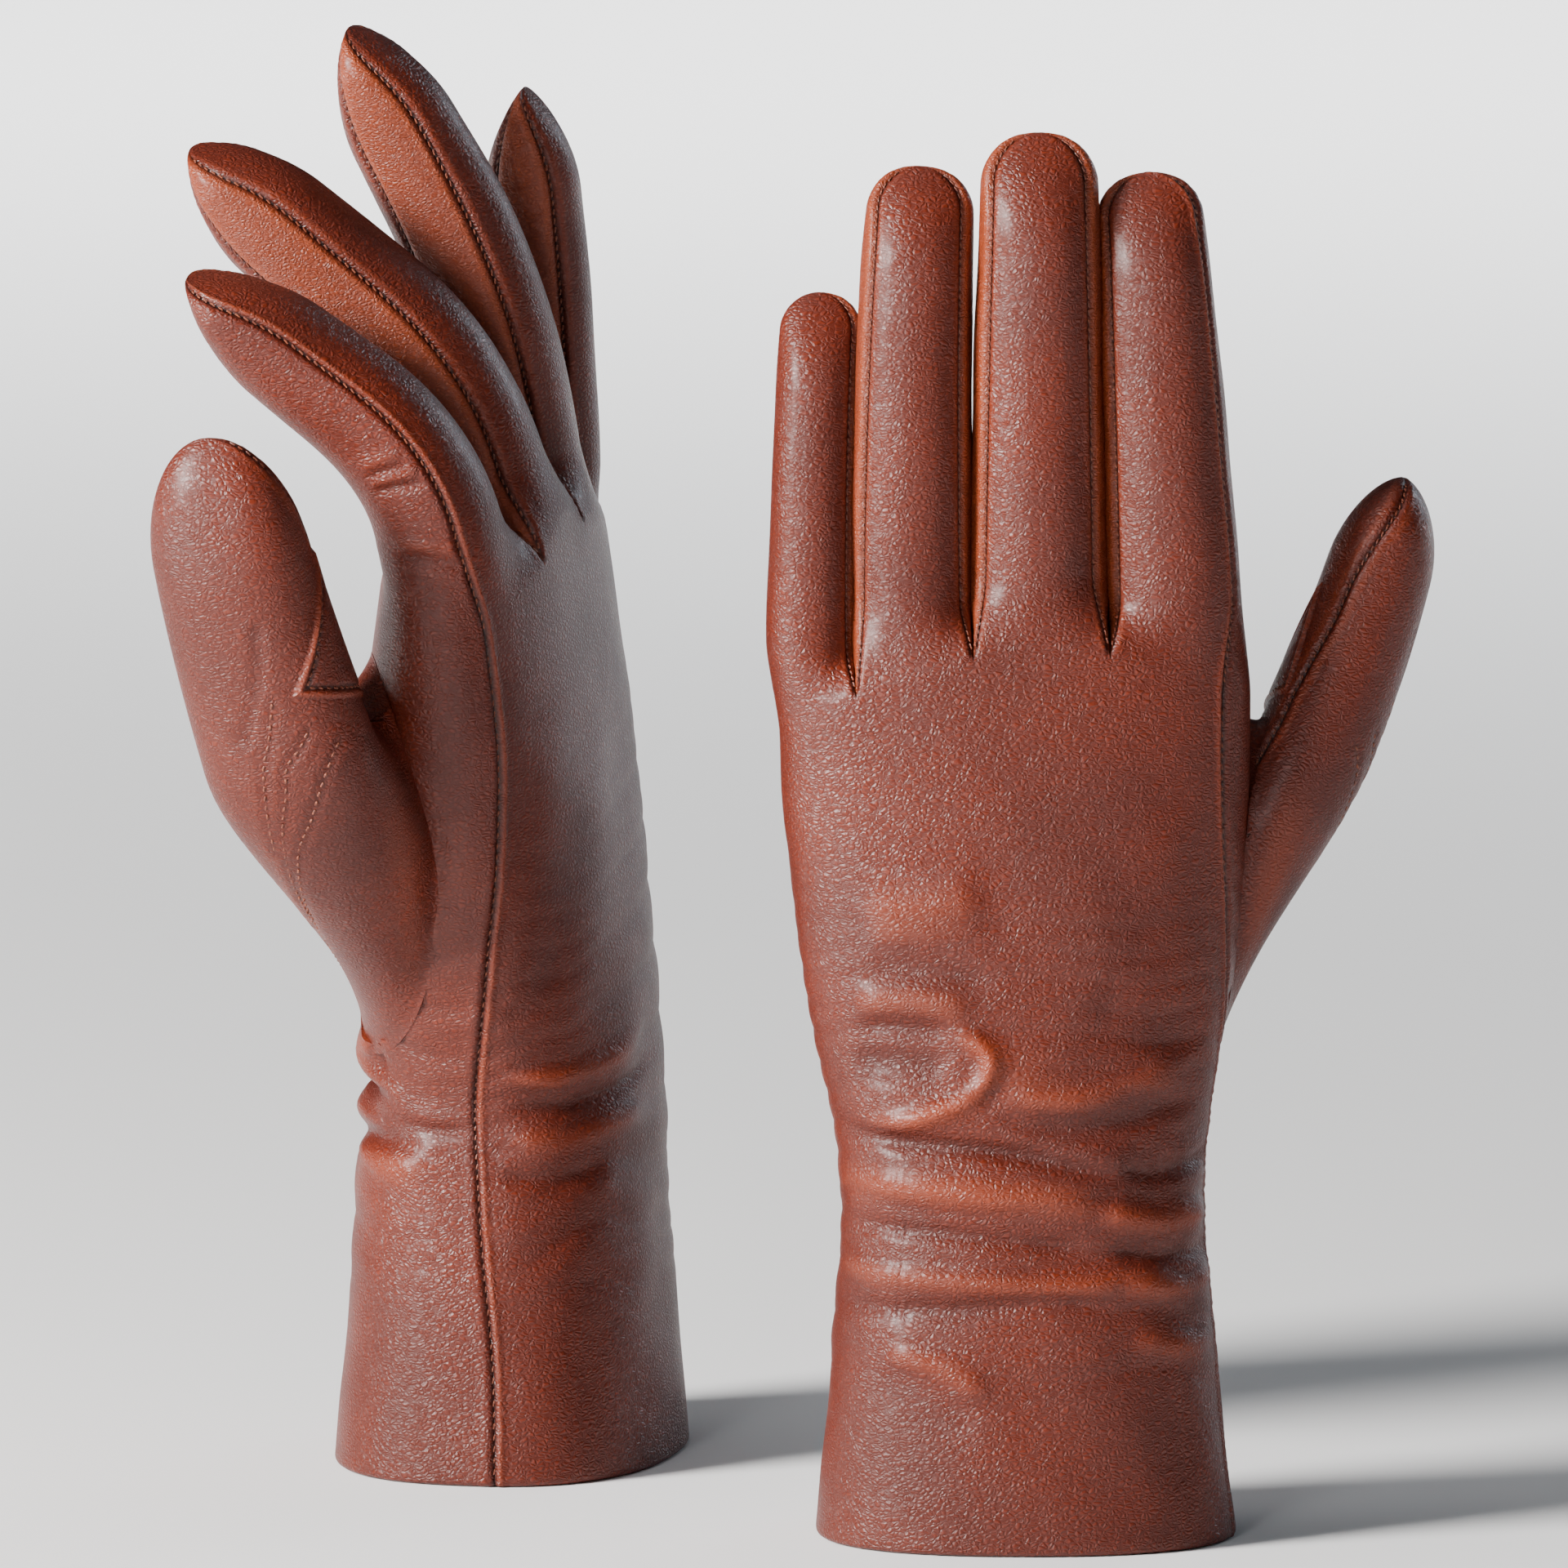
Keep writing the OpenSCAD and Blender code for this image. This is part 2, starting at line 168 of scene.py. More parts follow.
def hand_skin(angle: Array, z: Array, inset: float = 0.0) -> Array:
    """The hand's surface: a superellipse whose middle and half sizes follow the height table.

    Args:
        angle: Degrees round the hand, 0 at the thumb's side, 90 at the palm, 270 at the back.
        z: Height.
        inset: How far inside the surface.

    Returns:
        Points in the glove's own axes.
    """
    angle, z = np.broadcast_arrays(np.radians(angle), z)
    column = [through(HAND_TABLE[:, 0], HAND_TABLE[:, k], z) for k in range(1, 5)]
    return np.stack([column[0] + (column[1] - inset) * shaped(np.cos(angle), HAND_POWER),
                     column[2] + (column[3] - inset) * shaped(np.sin(angle), HAND_POWER), z], -1)


def hand_angle(r: Array | float, z: Array | float = 160.0) -> Array:
    """Degrees round the palm's half of the hand where it is r across: the arc cosine of the bent share."""
    middle = through(HAND_TABLE[:, 0], HAND_TABLE[:, 1], np.asarray(z, float))
    half = through(HAND_TABLE[:, 0], HAND_TABLE[:, 2], np.asarray(z, float))
    share = np.clip((np.asarray(r, float) - middle) / half, -1.0, 1.0)
    return np.degrees(np.arccos(np.sign(share) * np.abs(share) ** (HAND_POWER / 2.0)))


def hand_top(angle: Array) -> Array:
    """Height of the knuckle line at an angle round the hand."""
    half, middle = HAND_TABLE[-1, 2], HAND_TABLE[-1, 1]
    return knuckle_line(middle + half * shaped(np.cos(np.radians(angle)), HAND_POWER))


def outward(surface: Callable[[Array, Array], Array], a: Array, b: Array, step: float = 0.02) -> Array:
    """Unit normals of a surface, from its changes over a small step each way.

    Args:
        surface: The surface as a function of an angle in degrees and a length.
        a: Angles.
        b: Lengths.
        step: Half the step in each.

    Returns:
        The cross product of the change along a with the change along b, made unit length.
    """
    along_a = surface(a + 4 * step, b) - surface(a - 4 * step, b)
    along_b = surface(a, b + step) - surface(a, b - step)
    return unit(np.cross(along_a, along_b))


@dataclass(frozen=True)
class Finger:
    """A finger's middle line and sections.

    The heading turns from the first lean and bend to the second along the finger, and each section is a
    superellipse that closes over the tip's run like a quarter of an oval.
    """

    base: tuple[float, float, float]
    length: float
    width: tuple[float, float]
    depth: tuple[float, float]
    lean: tuple[float, float]
    bend: tuple[float, float]
    knee: float
    tip_width: tuple[float, float]
    tip_depth: tuple[float, float]

    def axes(self, t: Array) -> tuple[Array, Array, Array]:
        """Unit vectors along the finger, across it towards the thumb, and towards the palm."""
        lean = np.radians(mix(self.lean[0], self.lean[1], t))
        bend = np.radians(mix(self.bend[0], self.bend[1], smooth(t / self.knee)))
        along = np.stack([np.sin(lean), np.cos(lean) * np.sin(bend), np.cos(lean) * np.cos(bend)], -1)
        across = np.stack([np.cos(lean), -np.sin(lean) * np.sin(bend), -np.sin(lean) * np.cos(bend)], -1)
        palmward = np.stack([0 * lean, np.cos(bend), -np.sin(bend)], -1)
        return along, across, palmward

    def middle(self, t: Array) -> Array:
        """Points on the middle line: the base and the running total of short steps along the heading."""
        steps = 96
        along = self.axes((np.arange(steps) + 0.5) / steps)[0] * self.length / steps
        line = np.concatenate([[self.base], self.base + np.cumsum(along, 0)])
        held = np.clip(t, 0.0, 1.0) * steps
        point = np.stack([np.interp(held, np.arange(steps + 1), line[:, k]) for k in range(3)], -1)
        return point + np.minimum(t, 0.0)[..., None] * self.axes(np.zeros(1))[0][0] * self.length

    def closing(self, tip: tuple[float, float], t: Array) -> Array:
        """Share of a section's size that is left: a power of 1 less the square of the way into the run."""
        x = np.clip(1.0 - (1.0 - t) * self.length / tip[0], 0.0, 1.0)
        return np.maximum((1.0 - x * x), 1e-9) ** tip[1]

    def skin(self, angle: Array, z: Array, inset: float = 0.0) -> Array:
        """The finger's surface at degrees round it and a length along it, in the glove's own axes."""
        angle, t = np.broadcast_arrays(np.radians(angle), np.asarray(z, float) / self.length)
        _, across, palmward = self.axes(t)
        w = self.closing(self.tip_width, t) * mix(self.width[0], self.width[1],
                                                  np.maximum(t, 0.0) ** TAPER)
        d = self.closing(self.tip_depth, t) * mix(self.depth[0], self.depth[1], t)
        w, d = np.maximum(w - inset, 0.4 * w), np.maximum(d - inset, 0.4 * d)
        return (self.middle(t) + (w * shaped(np.cos(angle), FINGER_POWER))[..., None] * across
                + (d * shaped(np.sin(angle), FINGER_POWER))[..., None] * palmward)

    def rows(self, spacing: float, tip_rows: int) -> Array:
        """Lengths along the finger: even ones, then closer ones where the tip's width closes."""
        run = self.tip_width[0]
        body = np.linspace(0.0, self.length - run, max(4, int((self.length - run) / spacing)))
        turn = np.linspace(0.0, math.pi / 2, tip_rows + 1)[1:]
        tip = self.length - run * (1.0 - np.sin(turn))
        return np.concatenate([body, np.minimum(tip, self.length * (1.0 - 1e-6))])


# ---- Strips of leather that a finger is sewn from ----

BLEND_RUN = 13.0
FORK_DIP = 4.0
SEAM = 34.0
SIDE_SEAM_ON_FINGER = 328.0
SIDE_SEAM_AT_KNUCKLES = 330.0
# Height, and degrees round the hand
SIDE_SEAM_TABLE = np.array([[0.0, -10.0], [20.0, -9.0], [46.0, -4.0], [69.0, -3.0], [94.0, -13.0],
                            [113.0, -23.0], [133.0, -30.0], [160.0, -30.0]])


class StripKind(Enum):
    """Where a strip comes from: cut with the hand, or a separate fourchette between two fingers."""

    FROM_HAND = "from the hand"
    FOURCHETTE = "fourchette"


def side_seam_angle(z: Array) -> Array:
    """Degrees round the hand where the side seam runs, by height."""
    return through(SIDE_SEAM_TABLE[:, 0], SIDE_SEAM_TABLE[:, 1], z)


@dataclass(frozen=True)
class Strip:
    """A long piece of a finger between two angles round it."""

    name: str
    kind: StripKind
    start: float
    end: float
    first_r: float
    last_r: float
    wraps: bool = False
    side_seam: bool = False

    def at_hand(self, angle: Array) -> Array:
        """Degrees round the hand under each degree round the finger.

        A strip that wraps the outer side goes evenly from fork to fork, by way of the side seam if it has
        one. The others keep their share of the way across from fork to fork.
        """
        back = 360.0 - hand_angle(self.first_r)
        if self.wraps:
            if self.side_seam:
                return np.interp(angle, [self.start, SIDE_SEAM_ON_FINGER, self.end],
                                 [back, SIDE_SEAM_AT_KNUCKLES, 360.0 + hand_angle(self.last_r)])
            return np.interp(angle, [self.start, self.end],
                             [hand_angle(self.first_r), 360.0 - hand_angle(self.last_r)])
        reach = shaped(np.cos(np.radians(angle)), FINGER_POWER)
        ends = shaped(np.cos(np.radians(np.array([self.start, self.end]))), FINGER_POWER)
        r = mix(self.first_r, self.last_r, (reach - ends[0]) / (ends[1] - ends[0]))
        return 360.0 - hand_angle(r) if self.first_r < self.last_r else 360.0 + hand_angle(r)

    def surface(self, finger: Finger) -> Callable[[Array, Array], Array]:
        """The strip as a function of degrees round the finger and length above the knuckle line.

        It is the hand's surface at the knuckle line, or the web between two forks, and turns into the
        finger's own surface over the blend's run.

        Args:
            finger: The finger that the strip covers.

        Returns:
            The function.
        """
        def near(angle: Array, z: Array) -> Array:
            if self.kind is StripKind.FROM_HAND:
                at_hand = self.at_hand(angle)
                return hand_skin(at_hand, hand_top(at_hand) + z)
            share = (angle - self.start) / (self.end - self.start)
            palm = hand_angle(self.first_r)
            edges = (360.0 - palm, palm) if self.start < 0 else (palm, 360.0 - palm)
            ends = [hand_skin(np.full(np.shape(share * z), e), knuckle_line(self.first_r) + z + 0 * share)
                    for e in edges]
            point = mix(ends[0], ends[1], share[..., None] + 0 * z[..., None])
            dip = FORK_DIP * (1.0 - (2.0 * share - 1.0) ** 2) * (1.0 - smooth(z / 14.0))
            return point - np.stack([0 * dip, 0 * dip, dip], -1)

        def surface(angle: Array, z: Array) -> Array:
            angle, z = np.broadcast_arrays(angle, z)
            share = smooth(z / BLEND_RUN)[..., None]
            return mix(near(angle, z), finger.skin(angle, z), share)

        return surface


INDEX_FORK, MIDDLE_FORK, RING_FORK = 14.5, -9.7, -30.6
FINGER_STRIPS: dict[str, tuple[Strip, ...]] = {
    "index": (
        Strip("leather", StripKind.FROM_HAND, 180 + SEAM, 540 - SEAM, INDEX_FORK, INDEX_FORK, True, True),
        Strip("fourchette", StripKind.FOURCHETTE, 180 - SEAM, 180 + SEAM, INDEX_FORK, INDEX_FORK)),
    "middle": (
        Strip("back_leather", StripKind.FROM_HAND, 180 + SEAM, 360 - SEAM, MIDDLE_FORK, INDEX_FORK),
        Strip("thumb_side_fourchette", StripKind.FOURCHETTE, -SEAM, SEAM, INDEX_FORK, INDEX_FORK),
        Strip("palm_leather", StripKind.FROM_HAND, SEAM, 180 - SEAM, INDEX_FORK, MIDDLE_FORK),
        Strip("little_side_fourchette", StripKind.FOURCHETTE, 180 - SEAM, 180 + SEAM,
              MIDDLE_FORK, MIDDLE_FORK)),
    "ring": (
        Strip("back_leather", StripKind.FROM_HAND, 180 + SEAM, 360 - SEAM, RING_FORK, MIDDLE_FORK),
        Strip("thumb_side_fourchette", StripKind.FOURCHETTE, -SEAM, SEAM, MIDDLE_FORK, MIDDLE_FORK),
        Strip("palm_leather", StripKind.FROM_HAND, SEAM, 180 - SEAM, MIDDLE_FORK, RING_FORK),
        Strip("little_side_fourchette", StripKind.FOURCHETTE, 180 - SEAM, 180 + SEAM,
              RING_FORK, RING_FORK)),
    "little": (
        Strip("leather", StripKind.FROM_HAND, SEAM, 360 - SEAM, RING_FORK, RING_FORK, True),
        Strip("fourchette", StripKind.FOURCHETTE, -SEAM, SEAM, RING_FORK, RING_FORK)),
}
FORKS = {"index_middle_quirk": INDEX_FORK, "middle_ring_quirk": MIDDLE_FORK,
         "ring_little_quirk": RING_FORK}


# ---- Meshes ----

def grid_faces(rows: int, columns: int, closed: bool) -> Array:
    """Four corners of each cell of a grid whose points are numbered row by row."""
    i, j = np.meshgrid(np.arange(rows - 1), np.arange(columns if closed else columns - 1), indexing="ij")
    right = (j + 1) % columns
    return np.stack([i * columns + j, i * columns + right, (i + 1) * columns + right,
                     (i + 1) * columns + j], -1).reshape(-1, 4)


def shell(outer: Array, inner: Array, faces: Array) -> tuple[Array, Array]:
    """A closed wall between two skins that share one set of faces.

    The inner faces are turned round, and each edge that only one face has gets a face across the wall.

    Args:
        outer: Outer points.
        inner: Inner points, in the same order.
        faces: Corners of the faces, wound to face outwards.

    Returns:
        Points and faces of the wall.
    """
    count = len(outer)
    edges = np.concatenate([np.stack([faces[:, k], faces[:, (k + 1) % 4]], -1) for k in range(4)])
    keys = edges.min(1) * count + edges.max(1)
    _, first, times = np.unique(keys, return_index=True, return_counts=True)
    rim = edges[first[times == 1]]
    walls = np.stack([rim[:, 1], rim[:, 0], rim[:, 0] + count, rim[:, 1] + count], -1)
    used, renumbered = np.unique(np.concatenate([faces, faces[:, ::-1] + count, walls]), return_inverse=True)
    return np.concatenate([outer, inner])[used], renumbered.reshape(-1, 4)


def make_mesh(name: str, points: Array, faces: Array, material: bpy.types.Material,
              marks: dict[str, Array] | None = None) -> bpy.types.Object:
    """An object at the origin from points in millimetres and faces.

    Args:
        name: The object's name.
        points: Points in the pair's frame.
        faces: Corners of each face.
        material: Its finish.
        marks: Values from 0 to 1 at each point, by name, that the finish reads.

    Returns:
        The linked object, smooth shaded with sharp edges at its rims.
    """
    mesh = bpy.data.meshes.new(name)
    mesh.from_pydata((points * TO_METRES).tolist(), [], faces.tolist())
    for mark, values in (marks or {}).items():
        layer = mesh.attributes.new(mark, "FLOAT", "POINT")
        layer.data.foreach_set("value", np.asarray(values, np.float32))
    mesh.materials.append(material)
    mesh.validate()
    mesh.shade_smooth()
    mesh.set_sharp_from_angle(angle=math.radians(55))
    obj = bpy.data.objects.new(name, mesh)
    bpy.context.scene.collection.objects.link(obj)
    return obj


def capsule(sides: int = 6) -> tuple[Array, Array]:
    """A short rounded rod from -1 to 1 along x: rings of a half circle swept round, its ends left open.

    Args:
        sides: Points in each ring.

    Returns:
        Points, and faces as four corners each; stitches closes the ends.
    """
    stations = np.array([[-0.93, 0.55], [-0.6, 1.0], [0.6, 1.0], [0.93, 0.55]])
    turn = np.arange(sides) * 2 * math.pi / sides
    rings = np.stack([np.repeat(stations[:, 0], sides),
                      (stations[:, 1:] * np.cos(turn)).ravel(), (stations[:, 1:] * np.sin(turn)).ravel()], -1)
    return rings, grid_faces(len(stations), sides, True)[:, ::-1]


@dataclass(frozen=True)
class Stitching:
    """A kind of stitch in millimetres, with the degrees that it is turned from its row."""

    pitch: float
    length: float
    thick: float
    slant: float = 0.0


def stitches(path: Array, normals: Array, kind: Stitching) -> tuple[Array, Array]:
    """A row of short stitches along a path.

    One rounded rod is set at every pitch of the path's running length. Its own axes are the path's
    direction, the surface's normal and the side between them, and it may lie slantwise.

    Args:
        path: Points of the path.
        normals: The surface's normals there.
        kind: Spacing, size and slant of the stitches.

    Returns:
        Points and faces, the ends of each rod closed with a hexagon split in two.
    """
    gaps = np.linalg.norm(np.diff(path, axis=0), axis=1)
    total = np.concatenate([[0.0], np.cumsum(gaps)])
    count = max(2, int(total[-1] / kind.pitch))
    at = (np.arange(count) + 0.5) * total[-1] / count
    centre = np.stack([np.interp(at, total, path[:, k]) for k in range(3)], -1)
    up = unit(np.stack([np.interp(at, total, normals[:, k]) for k in range(3)], -1))
    ahead = np.stack([np.interp(at + 0.2, total, path[:, k]) - np.interp(at - 0.2, total, path[:, k])
                      for k in range(3)], -1)
    ahead = unit(ahead - up * np.sum(ahead * up, -1, keepdims=True))
    side = np.cross(up, ahead)
    turn = math.radians(kind.slant)
    ahead, side = (math.cos(turn) * ahead + math.sin(turn) * side,
                   math.cos(turn) * side - math.sin(turn) * ahead)
    rod, rod_faces = capsule()
    points = (centre[:, None] + rod[:, :1] * 0.5 * kind.length * ahead[:, None]
              + rod[:, 1:2] * 0.5 * kind.thick * side[:, None]
              + rod[:, 2:] * 0.5 * kind.thick * up[:, None])
    last = len(rod) - 6
    ends = np.array([[0, 1, 2, 3], [0, 3, 4, 5], [last + 3, last + 2, last + 1, last],
                     [last + 5, last + 4, last + 3, last]])
    faces = np.concatenate([rod_faces, ends])
    shift = (np.arange(count) * len(rod))[:, None, None]
    return points.reshape(-1, 3), (faces[None] + shift).reshape(-1, 4)


def joined(meshes: Sequence[tuple[Array, Array]]) -> tuple[Array, Array]:
    """Several meshes as one, each one's faces numbered on from the points before it."""
    starts = np.cumsum([0, *[len(points) for points, _ in meshes[:-1]]])
    return (np.concatenate([points for points, _ in meshes]),
            np.concatenate([faces + start for (_, faces), start in zip(meshes, starts)]))


# ---- Finishes ----

class Nodes:
    """A small helper that adds nodes to a tree and joins them."""

    def __init__(self, tree: bpy.types.NodeTree) -> None:
        """Keep the tree."""
        self.tree = tree

    def add(self, kind: str, settings: dict | None = None, **inputs: object) -> bpy.types.Node:
        """Add a node.

        Args:
            kind: The node's type name.
            settings: Properties to set on it.
            **inputs: Sockets by name, with underscores for spaces, each a value or an output to join.

        Returns:
            The node.
        """
        node = self.tree.nodes.new(kind)
        for key, value in (settings or {}).items():
            setattr(node, key, value)
        for key, value in inputs.items():
            index = int(key[1:]) if key[0] == "i" and key[1:].isdigit() else None
            socket = node.inputs[index if index is not None else key.replace("_", " ")]
            if isinstance(value, bpy.types.NodeSocket):
                self.tree.links.new(value, socket)
            else:
                socket.default_value = value
        return node

    def maths(self, operation: str, a: object, b: object = 0.0, clamp: bool = False) -> bpy.types.NodeSocket:
        """One sum of two values."""
        return self.add("ShaderNodeMath", {"operation": operation, "use_clamp": clamp}, i0=a, i1=b).outputs[0]

    def ramp(self, value: object, low: float, high: float, start: float, end: float) -> bpy.types.NodeSocket:
        """A value carried from one range to another, and held there."""
        return self.add("ShaderNodeMapRange", {"clamp": True}, i0=value, i1=low, i2=high, i3=start,
                        i4=end).outputs[0]

    def blend(self, share: object, a: object, b: object, how: str = "MIX") -> bpy.types.NodeSocket:
        """A mixture of two colours."""
        node = self.add("ShaderNodeMix", {"data_type": "RGBA", "blend_type": how})
        for index, value in ((0, share), (6, a), (7, b)):
            if isinstance(value, bpy.types.NodeSocket):
                self.tree.links.new(value, node.inputs[index])
            else:
                node.inputs[index].default_value = value
        return node.outputs[2]


def new_group(name: str, inputs: Sequence[tuple[str, str, object]],
              outputs: Sequence[tuple[str, str]]) -> tuple[bpy.types.NodeTree, Nodes, bpy.types.Node]:
    """An empty shader node group.

    Args:
        name: Its name.
        inputs: Name, socket type and starting value of each input.
        outputs: Name and socket type of each output.

    Returns:
        The group, a helper for its nodes, and its input node.
    """
    group = bpy.data.node_groups.new(name, "ShaderNodeTree")
    for label, kind, value in inputs:
        socket = group.interface.new_socket(label, in_out="INPUT", socket_type=kind)
        if value is not None:
            socket.default_value = value
    for label, kind in outputs:
        group.interface.new_socket(label, in_out="OUTPUT", socket_type=kind)
    return group, Nodes(group), group.nodes.new("NodeGroupInput")


def grain_group() -> bpy.types.NodeTree:
    """Leather grain: pebbles with fine creases between them, and soft rises at a larger scale."""
    number = "NodeSocketFloat"
    group, n, given = new_group(
        "Leather grain", [("Vector", "NodeSocketVector", None), ("Pebble", number, 1000.0)],
        [("Height", number), ("Crease", number), ("Cloud", number)])
    drawn = n.add("ShaderNodeMapping", None, Vector=given.outputs["Vector"], Rotation=(0.3, 0.6, 0.2),
                  Scale=(1.0, 1.0, 1.55))
    warp = n.add("ShaderNodeTexNoise", None, Vector=given.outputs["Vector"], Scale=420.0, Detail=2.0)
    moved = n.add("ShaderNodeVectorMath", {"operation": "MULTIPLY_ADD"}, i0=warp.outputs["Color"],
                  i1=(0.002, 0.002, 0.002), i2=drawn.outputs[0])
    cells = n.add("ShaderNodeTexVoronoi", {"feature": "DISTANCE_TO_EDGE"}, Vector=moved.outputs[0],
                  Scale=given.outputs["Pebble"])
    crease = n.ramp(cells.outputs["Distance"], 0.0, 0.36, 1.0, 0.0)
    fine = n.add("ShaderNodeTexNoise", None, Vector=given.outputs["Vector"], Scale=2600.0, Detail=3.0)
    soft = n.add("ShaderNodeTexNoise", None, Vector=given.outputs["Vector"], Scale=420.0, Detail=4.0,
                 Roughness=0.6)
    cloud = n.add("ShaderNodeTexNoise", None, Vector=given.outputs["Vector"], Scale=38.0, Detail=5.0,
                  Roughness=0.55)
    pebbled = n.maths("MULTIPLY_ADD", crease, -0.6)
    n.tree.nodes[-1].inputs[2].default_value = 0.6
    height = n.maths("ADD", pebbled, n.maths("MULTIPLY", fine.outputs[0], 0.12))
    height = n.maths("ADD", height, n.maths("MULTIPLY", soft.outputs[0], 0.4))
    out = n.add("NodeGroupOutput")
    group.links.new(height, out.inputs["Height"])
    group.links.new(crease, out.inputs["Crease"])
    group.links.new(cloud.outputs[0], out.inputs["Cloud"])
    return group


def dye_and_shade_group() -> bpy.types.NodeTree:
    """Aniline-dyed colour in random deeper patches, with painted shade that darkens the grain's creases, the
    seam grooves and the hollows, and a painted highlight, partly wear from rubbing, that lightens ridges and
    seam lips.
    """
    number, colour = "NodeSocketFloat", "NodeSocketColor"
    group, n, given = new_group(
        "Dye, wear, painted shade and highlight", [("Base", colour, None), ("Deep", colour, None), ("Rubbed", colour, None),
                         ("Crease", number, 0.0), ("Cloud", number, 0.5), ("Seam", number, 0.0),
                         ("Ridge", number, 0.5)],
        [("Color", colour)])
    patchy = n.ramp(given.outputs["Cloud"], 0.35, 0.7, 0.0, 0.55)
    body = n.blend(patchy, given.outputs["Base"], given.outputs["Deep"])
    # The grain's creases are darkened towards the deep colour: painted shade.
    body = n.blend(n.maths("MULTIPLY", given.outputs["Crease"], 0.62), body, given.outputs["Deep"])
    # Ridges of the folds and the seams' rolled lips are lightened: painted highlight, partly wear from
    # rubbing.
    rubbed = n.ramp(given.outputs["Ridge"], 0.55, 1.0, 0.0, 0.7)
    body = n.blend(rubbed, body, given.outputs["Rubbed"])
    # Low places of the ridge mark, the hollows of folds and dents, are darkened: painted shade.
    hollow = n.ramp(given.outputs["Ridge"], 0.45, 0.0, 0.0, 0.75)
    body = n.blend(hollow, body, given.outputs["Deep"])
    # The seam grooves are darkened nearly to black: painted shade.
    dark = n.blend(1.0, given.outputs["Deep"], (0.25, 0.2, 0.2, 1.0), "MULTIPLY")
    out = n.add("NodeGroupOutput")
    group.links.new(n.blend(given.outputs["Seam"], body, dark), out.inputs["Color"])
    return group


@dataclass(frozen=True)
class LeatherFinish:
    """Grained and dyed leather with a satin finish, its colour holding painted shade in creases, grooves and
    hollows and a painted highlight on ridges.
    """

    name: str
    base: tuple[float, float, float]
    # The deeper tone of random patches, and also the colour of the painted shade in creases, seam grooves and
    # hollows.
    deep: tuple[float, float, float]
    # The lighter colour of the painted highlight on ridges and seam lips, partly wear from rubbing.
    rubbed: tuple[float, float, float]
    pebble: float = 900.0
    roughness: float = 0.4
    grain_depth: float = 0.00022

    def build(self, grain: bpy.types.NodeTree, dye_and_shade: bpy.types.NodeTree) -> bpy.types.Material:
        """Make the material from the two shared groups.

        Args:
            grain: The grain group.
            dye_and_shade: The group for the dyed colour, wear, painted shade and painted highlight.

        Returns:
            The material.
        """
        material = bpy.data.materials.new(self.name)
        material.use_nodes = True
        n = Nodes(material.node_tree)
        shader = material.node_tree.nodes["Principled BSDF"]
        place = n.add("ShaderNodeTexCoord").outputs["Object"]
        seam = n.add("ShaderNodeAttribute", {"attribute_name": "seam"}).outputs["Fac"]
        ridge = n.add("ShaderNodeAttribute", {"attribute_name": "ridge"}).outputs["Fac"]
        skin = n.add("ShaderNodeGroup", {"node_tree": grain}, Vector=place, Pebble=self.pebble)
        tint = n.add("ShaderNodeGroup", {"node_tree": dye_and_shade}, Base=(*self.base, 1.0), Deep=(*self.deep, 1.0),
                     Rubbed=(*self.rubbed, 1.0), Crease=skin.outputs["Crease"],
                     Cloud=skin.outputs["Cloud"], Seam=seam, Ridge=ridge)
        material.node_tree.links.new(tint.outputs["Color"], shader.inputs["Base Color"])
        rough = n.ramp(skin.outputs["Cloud"], 0.3, 0.7, self.roughness - 0.05, self.roughness + 0.07)
        rough = n.maths("ADD", rough, n.maths("MULTIPLY", skin.outputs["Crease"], 0.08), True)
        material.node_tree.links.new(rough, shader.inputs["Roughness"])
        relief = n.add("ShaderNodeBump", None, Height=skin.outputs["Height"], Strength=1.0,
                       Distance=self.grain_depth)
        material.node_tree.links.new(relief.outputs["Normal"], shader.inputs["Normal"])
        shader.inputs["Coat Weight"].default_value = 0.1
        shader.inputs["Coat Roughness"].default_value = 0.26
        shader.inputs["Specular IOR Level"].default_value = 0.36
        return material


@dataclass(frozen=True)
class KnitFinish:
    """Ribbed knitting: rows of loops along one axis and ribs along the other."""

    name: str
    colour: tuple[float, float, float]
    # The colour of the raised ribs and loops, a painted highlight on the knit; the first colour lies in the
    # furrows as painted shade.
    light: tuple[float, float, float]
    pitch: float = 0.0011

    def build(self) -> bpy.types.Material:
        """Make the material.

        Returns:
            The material, its ribs and loops from two sine waves on the object's own coordinates.
        """
        material = bpy.data.materials.new(self.name)
        material.use_nodes = True
        n = Nodes(material.node_tree)
        shader = material.node_tree.nodes["Principled BSDF"]
        place = n.add("ShaderNodeTexCoord").outputs["Object"]
        rib = n.add("ShaderNodeTexWave", {"wave_type": "BANDS", "bands_direction": "X"}, Vector=place,
                    Scale=0.16 / self.pitch, Distortion=0.8)
        loop = n.add("ShaderNodeTexWave", {"wave_type": "BANDS", "bands_direction": "Z"}, Vector=place,
                     Scale=0.3 / self.pitch, Distortion=1.5)
        fuzz = n.add("ShaderNodeTexNoise", None, Vector=place, Scale=4000.0, Detail=3.0)
        height = n.maths("ADD", n.maths("MULTIPLY", rib.outputs["Fac"], loop.outputs["Fac"]),
                         n.maths("MULTIPLY", fuzz.outputs[0], 0.4))
        # Lighter on the raised ribs and loops and darker between them: painted highlight and painted shade,
        # with random fuzz in the tone.
        tint = n.blend(height, (*self.colour, 1.0), (*self.light, 1.0))
        material.node_tree.links.new(tint, shader.inputs["Base Color"])
        material.node_tree.links.new(n.ramp(fuzz.outputs[0], 0.3, 0.7, 0.75, 0.95),
                                     shader.inputs["Roughness"])
        relief = n.add("ShaderNodeBump", None, Height=height, Strength=0.6, Distance=0.0003)
        material.node_tree.links.new(relief.outputs["Normal"], shader.inputs["Normal"])
        shader.inputs["Sheen Weight"].default_value = 0.25
        return material


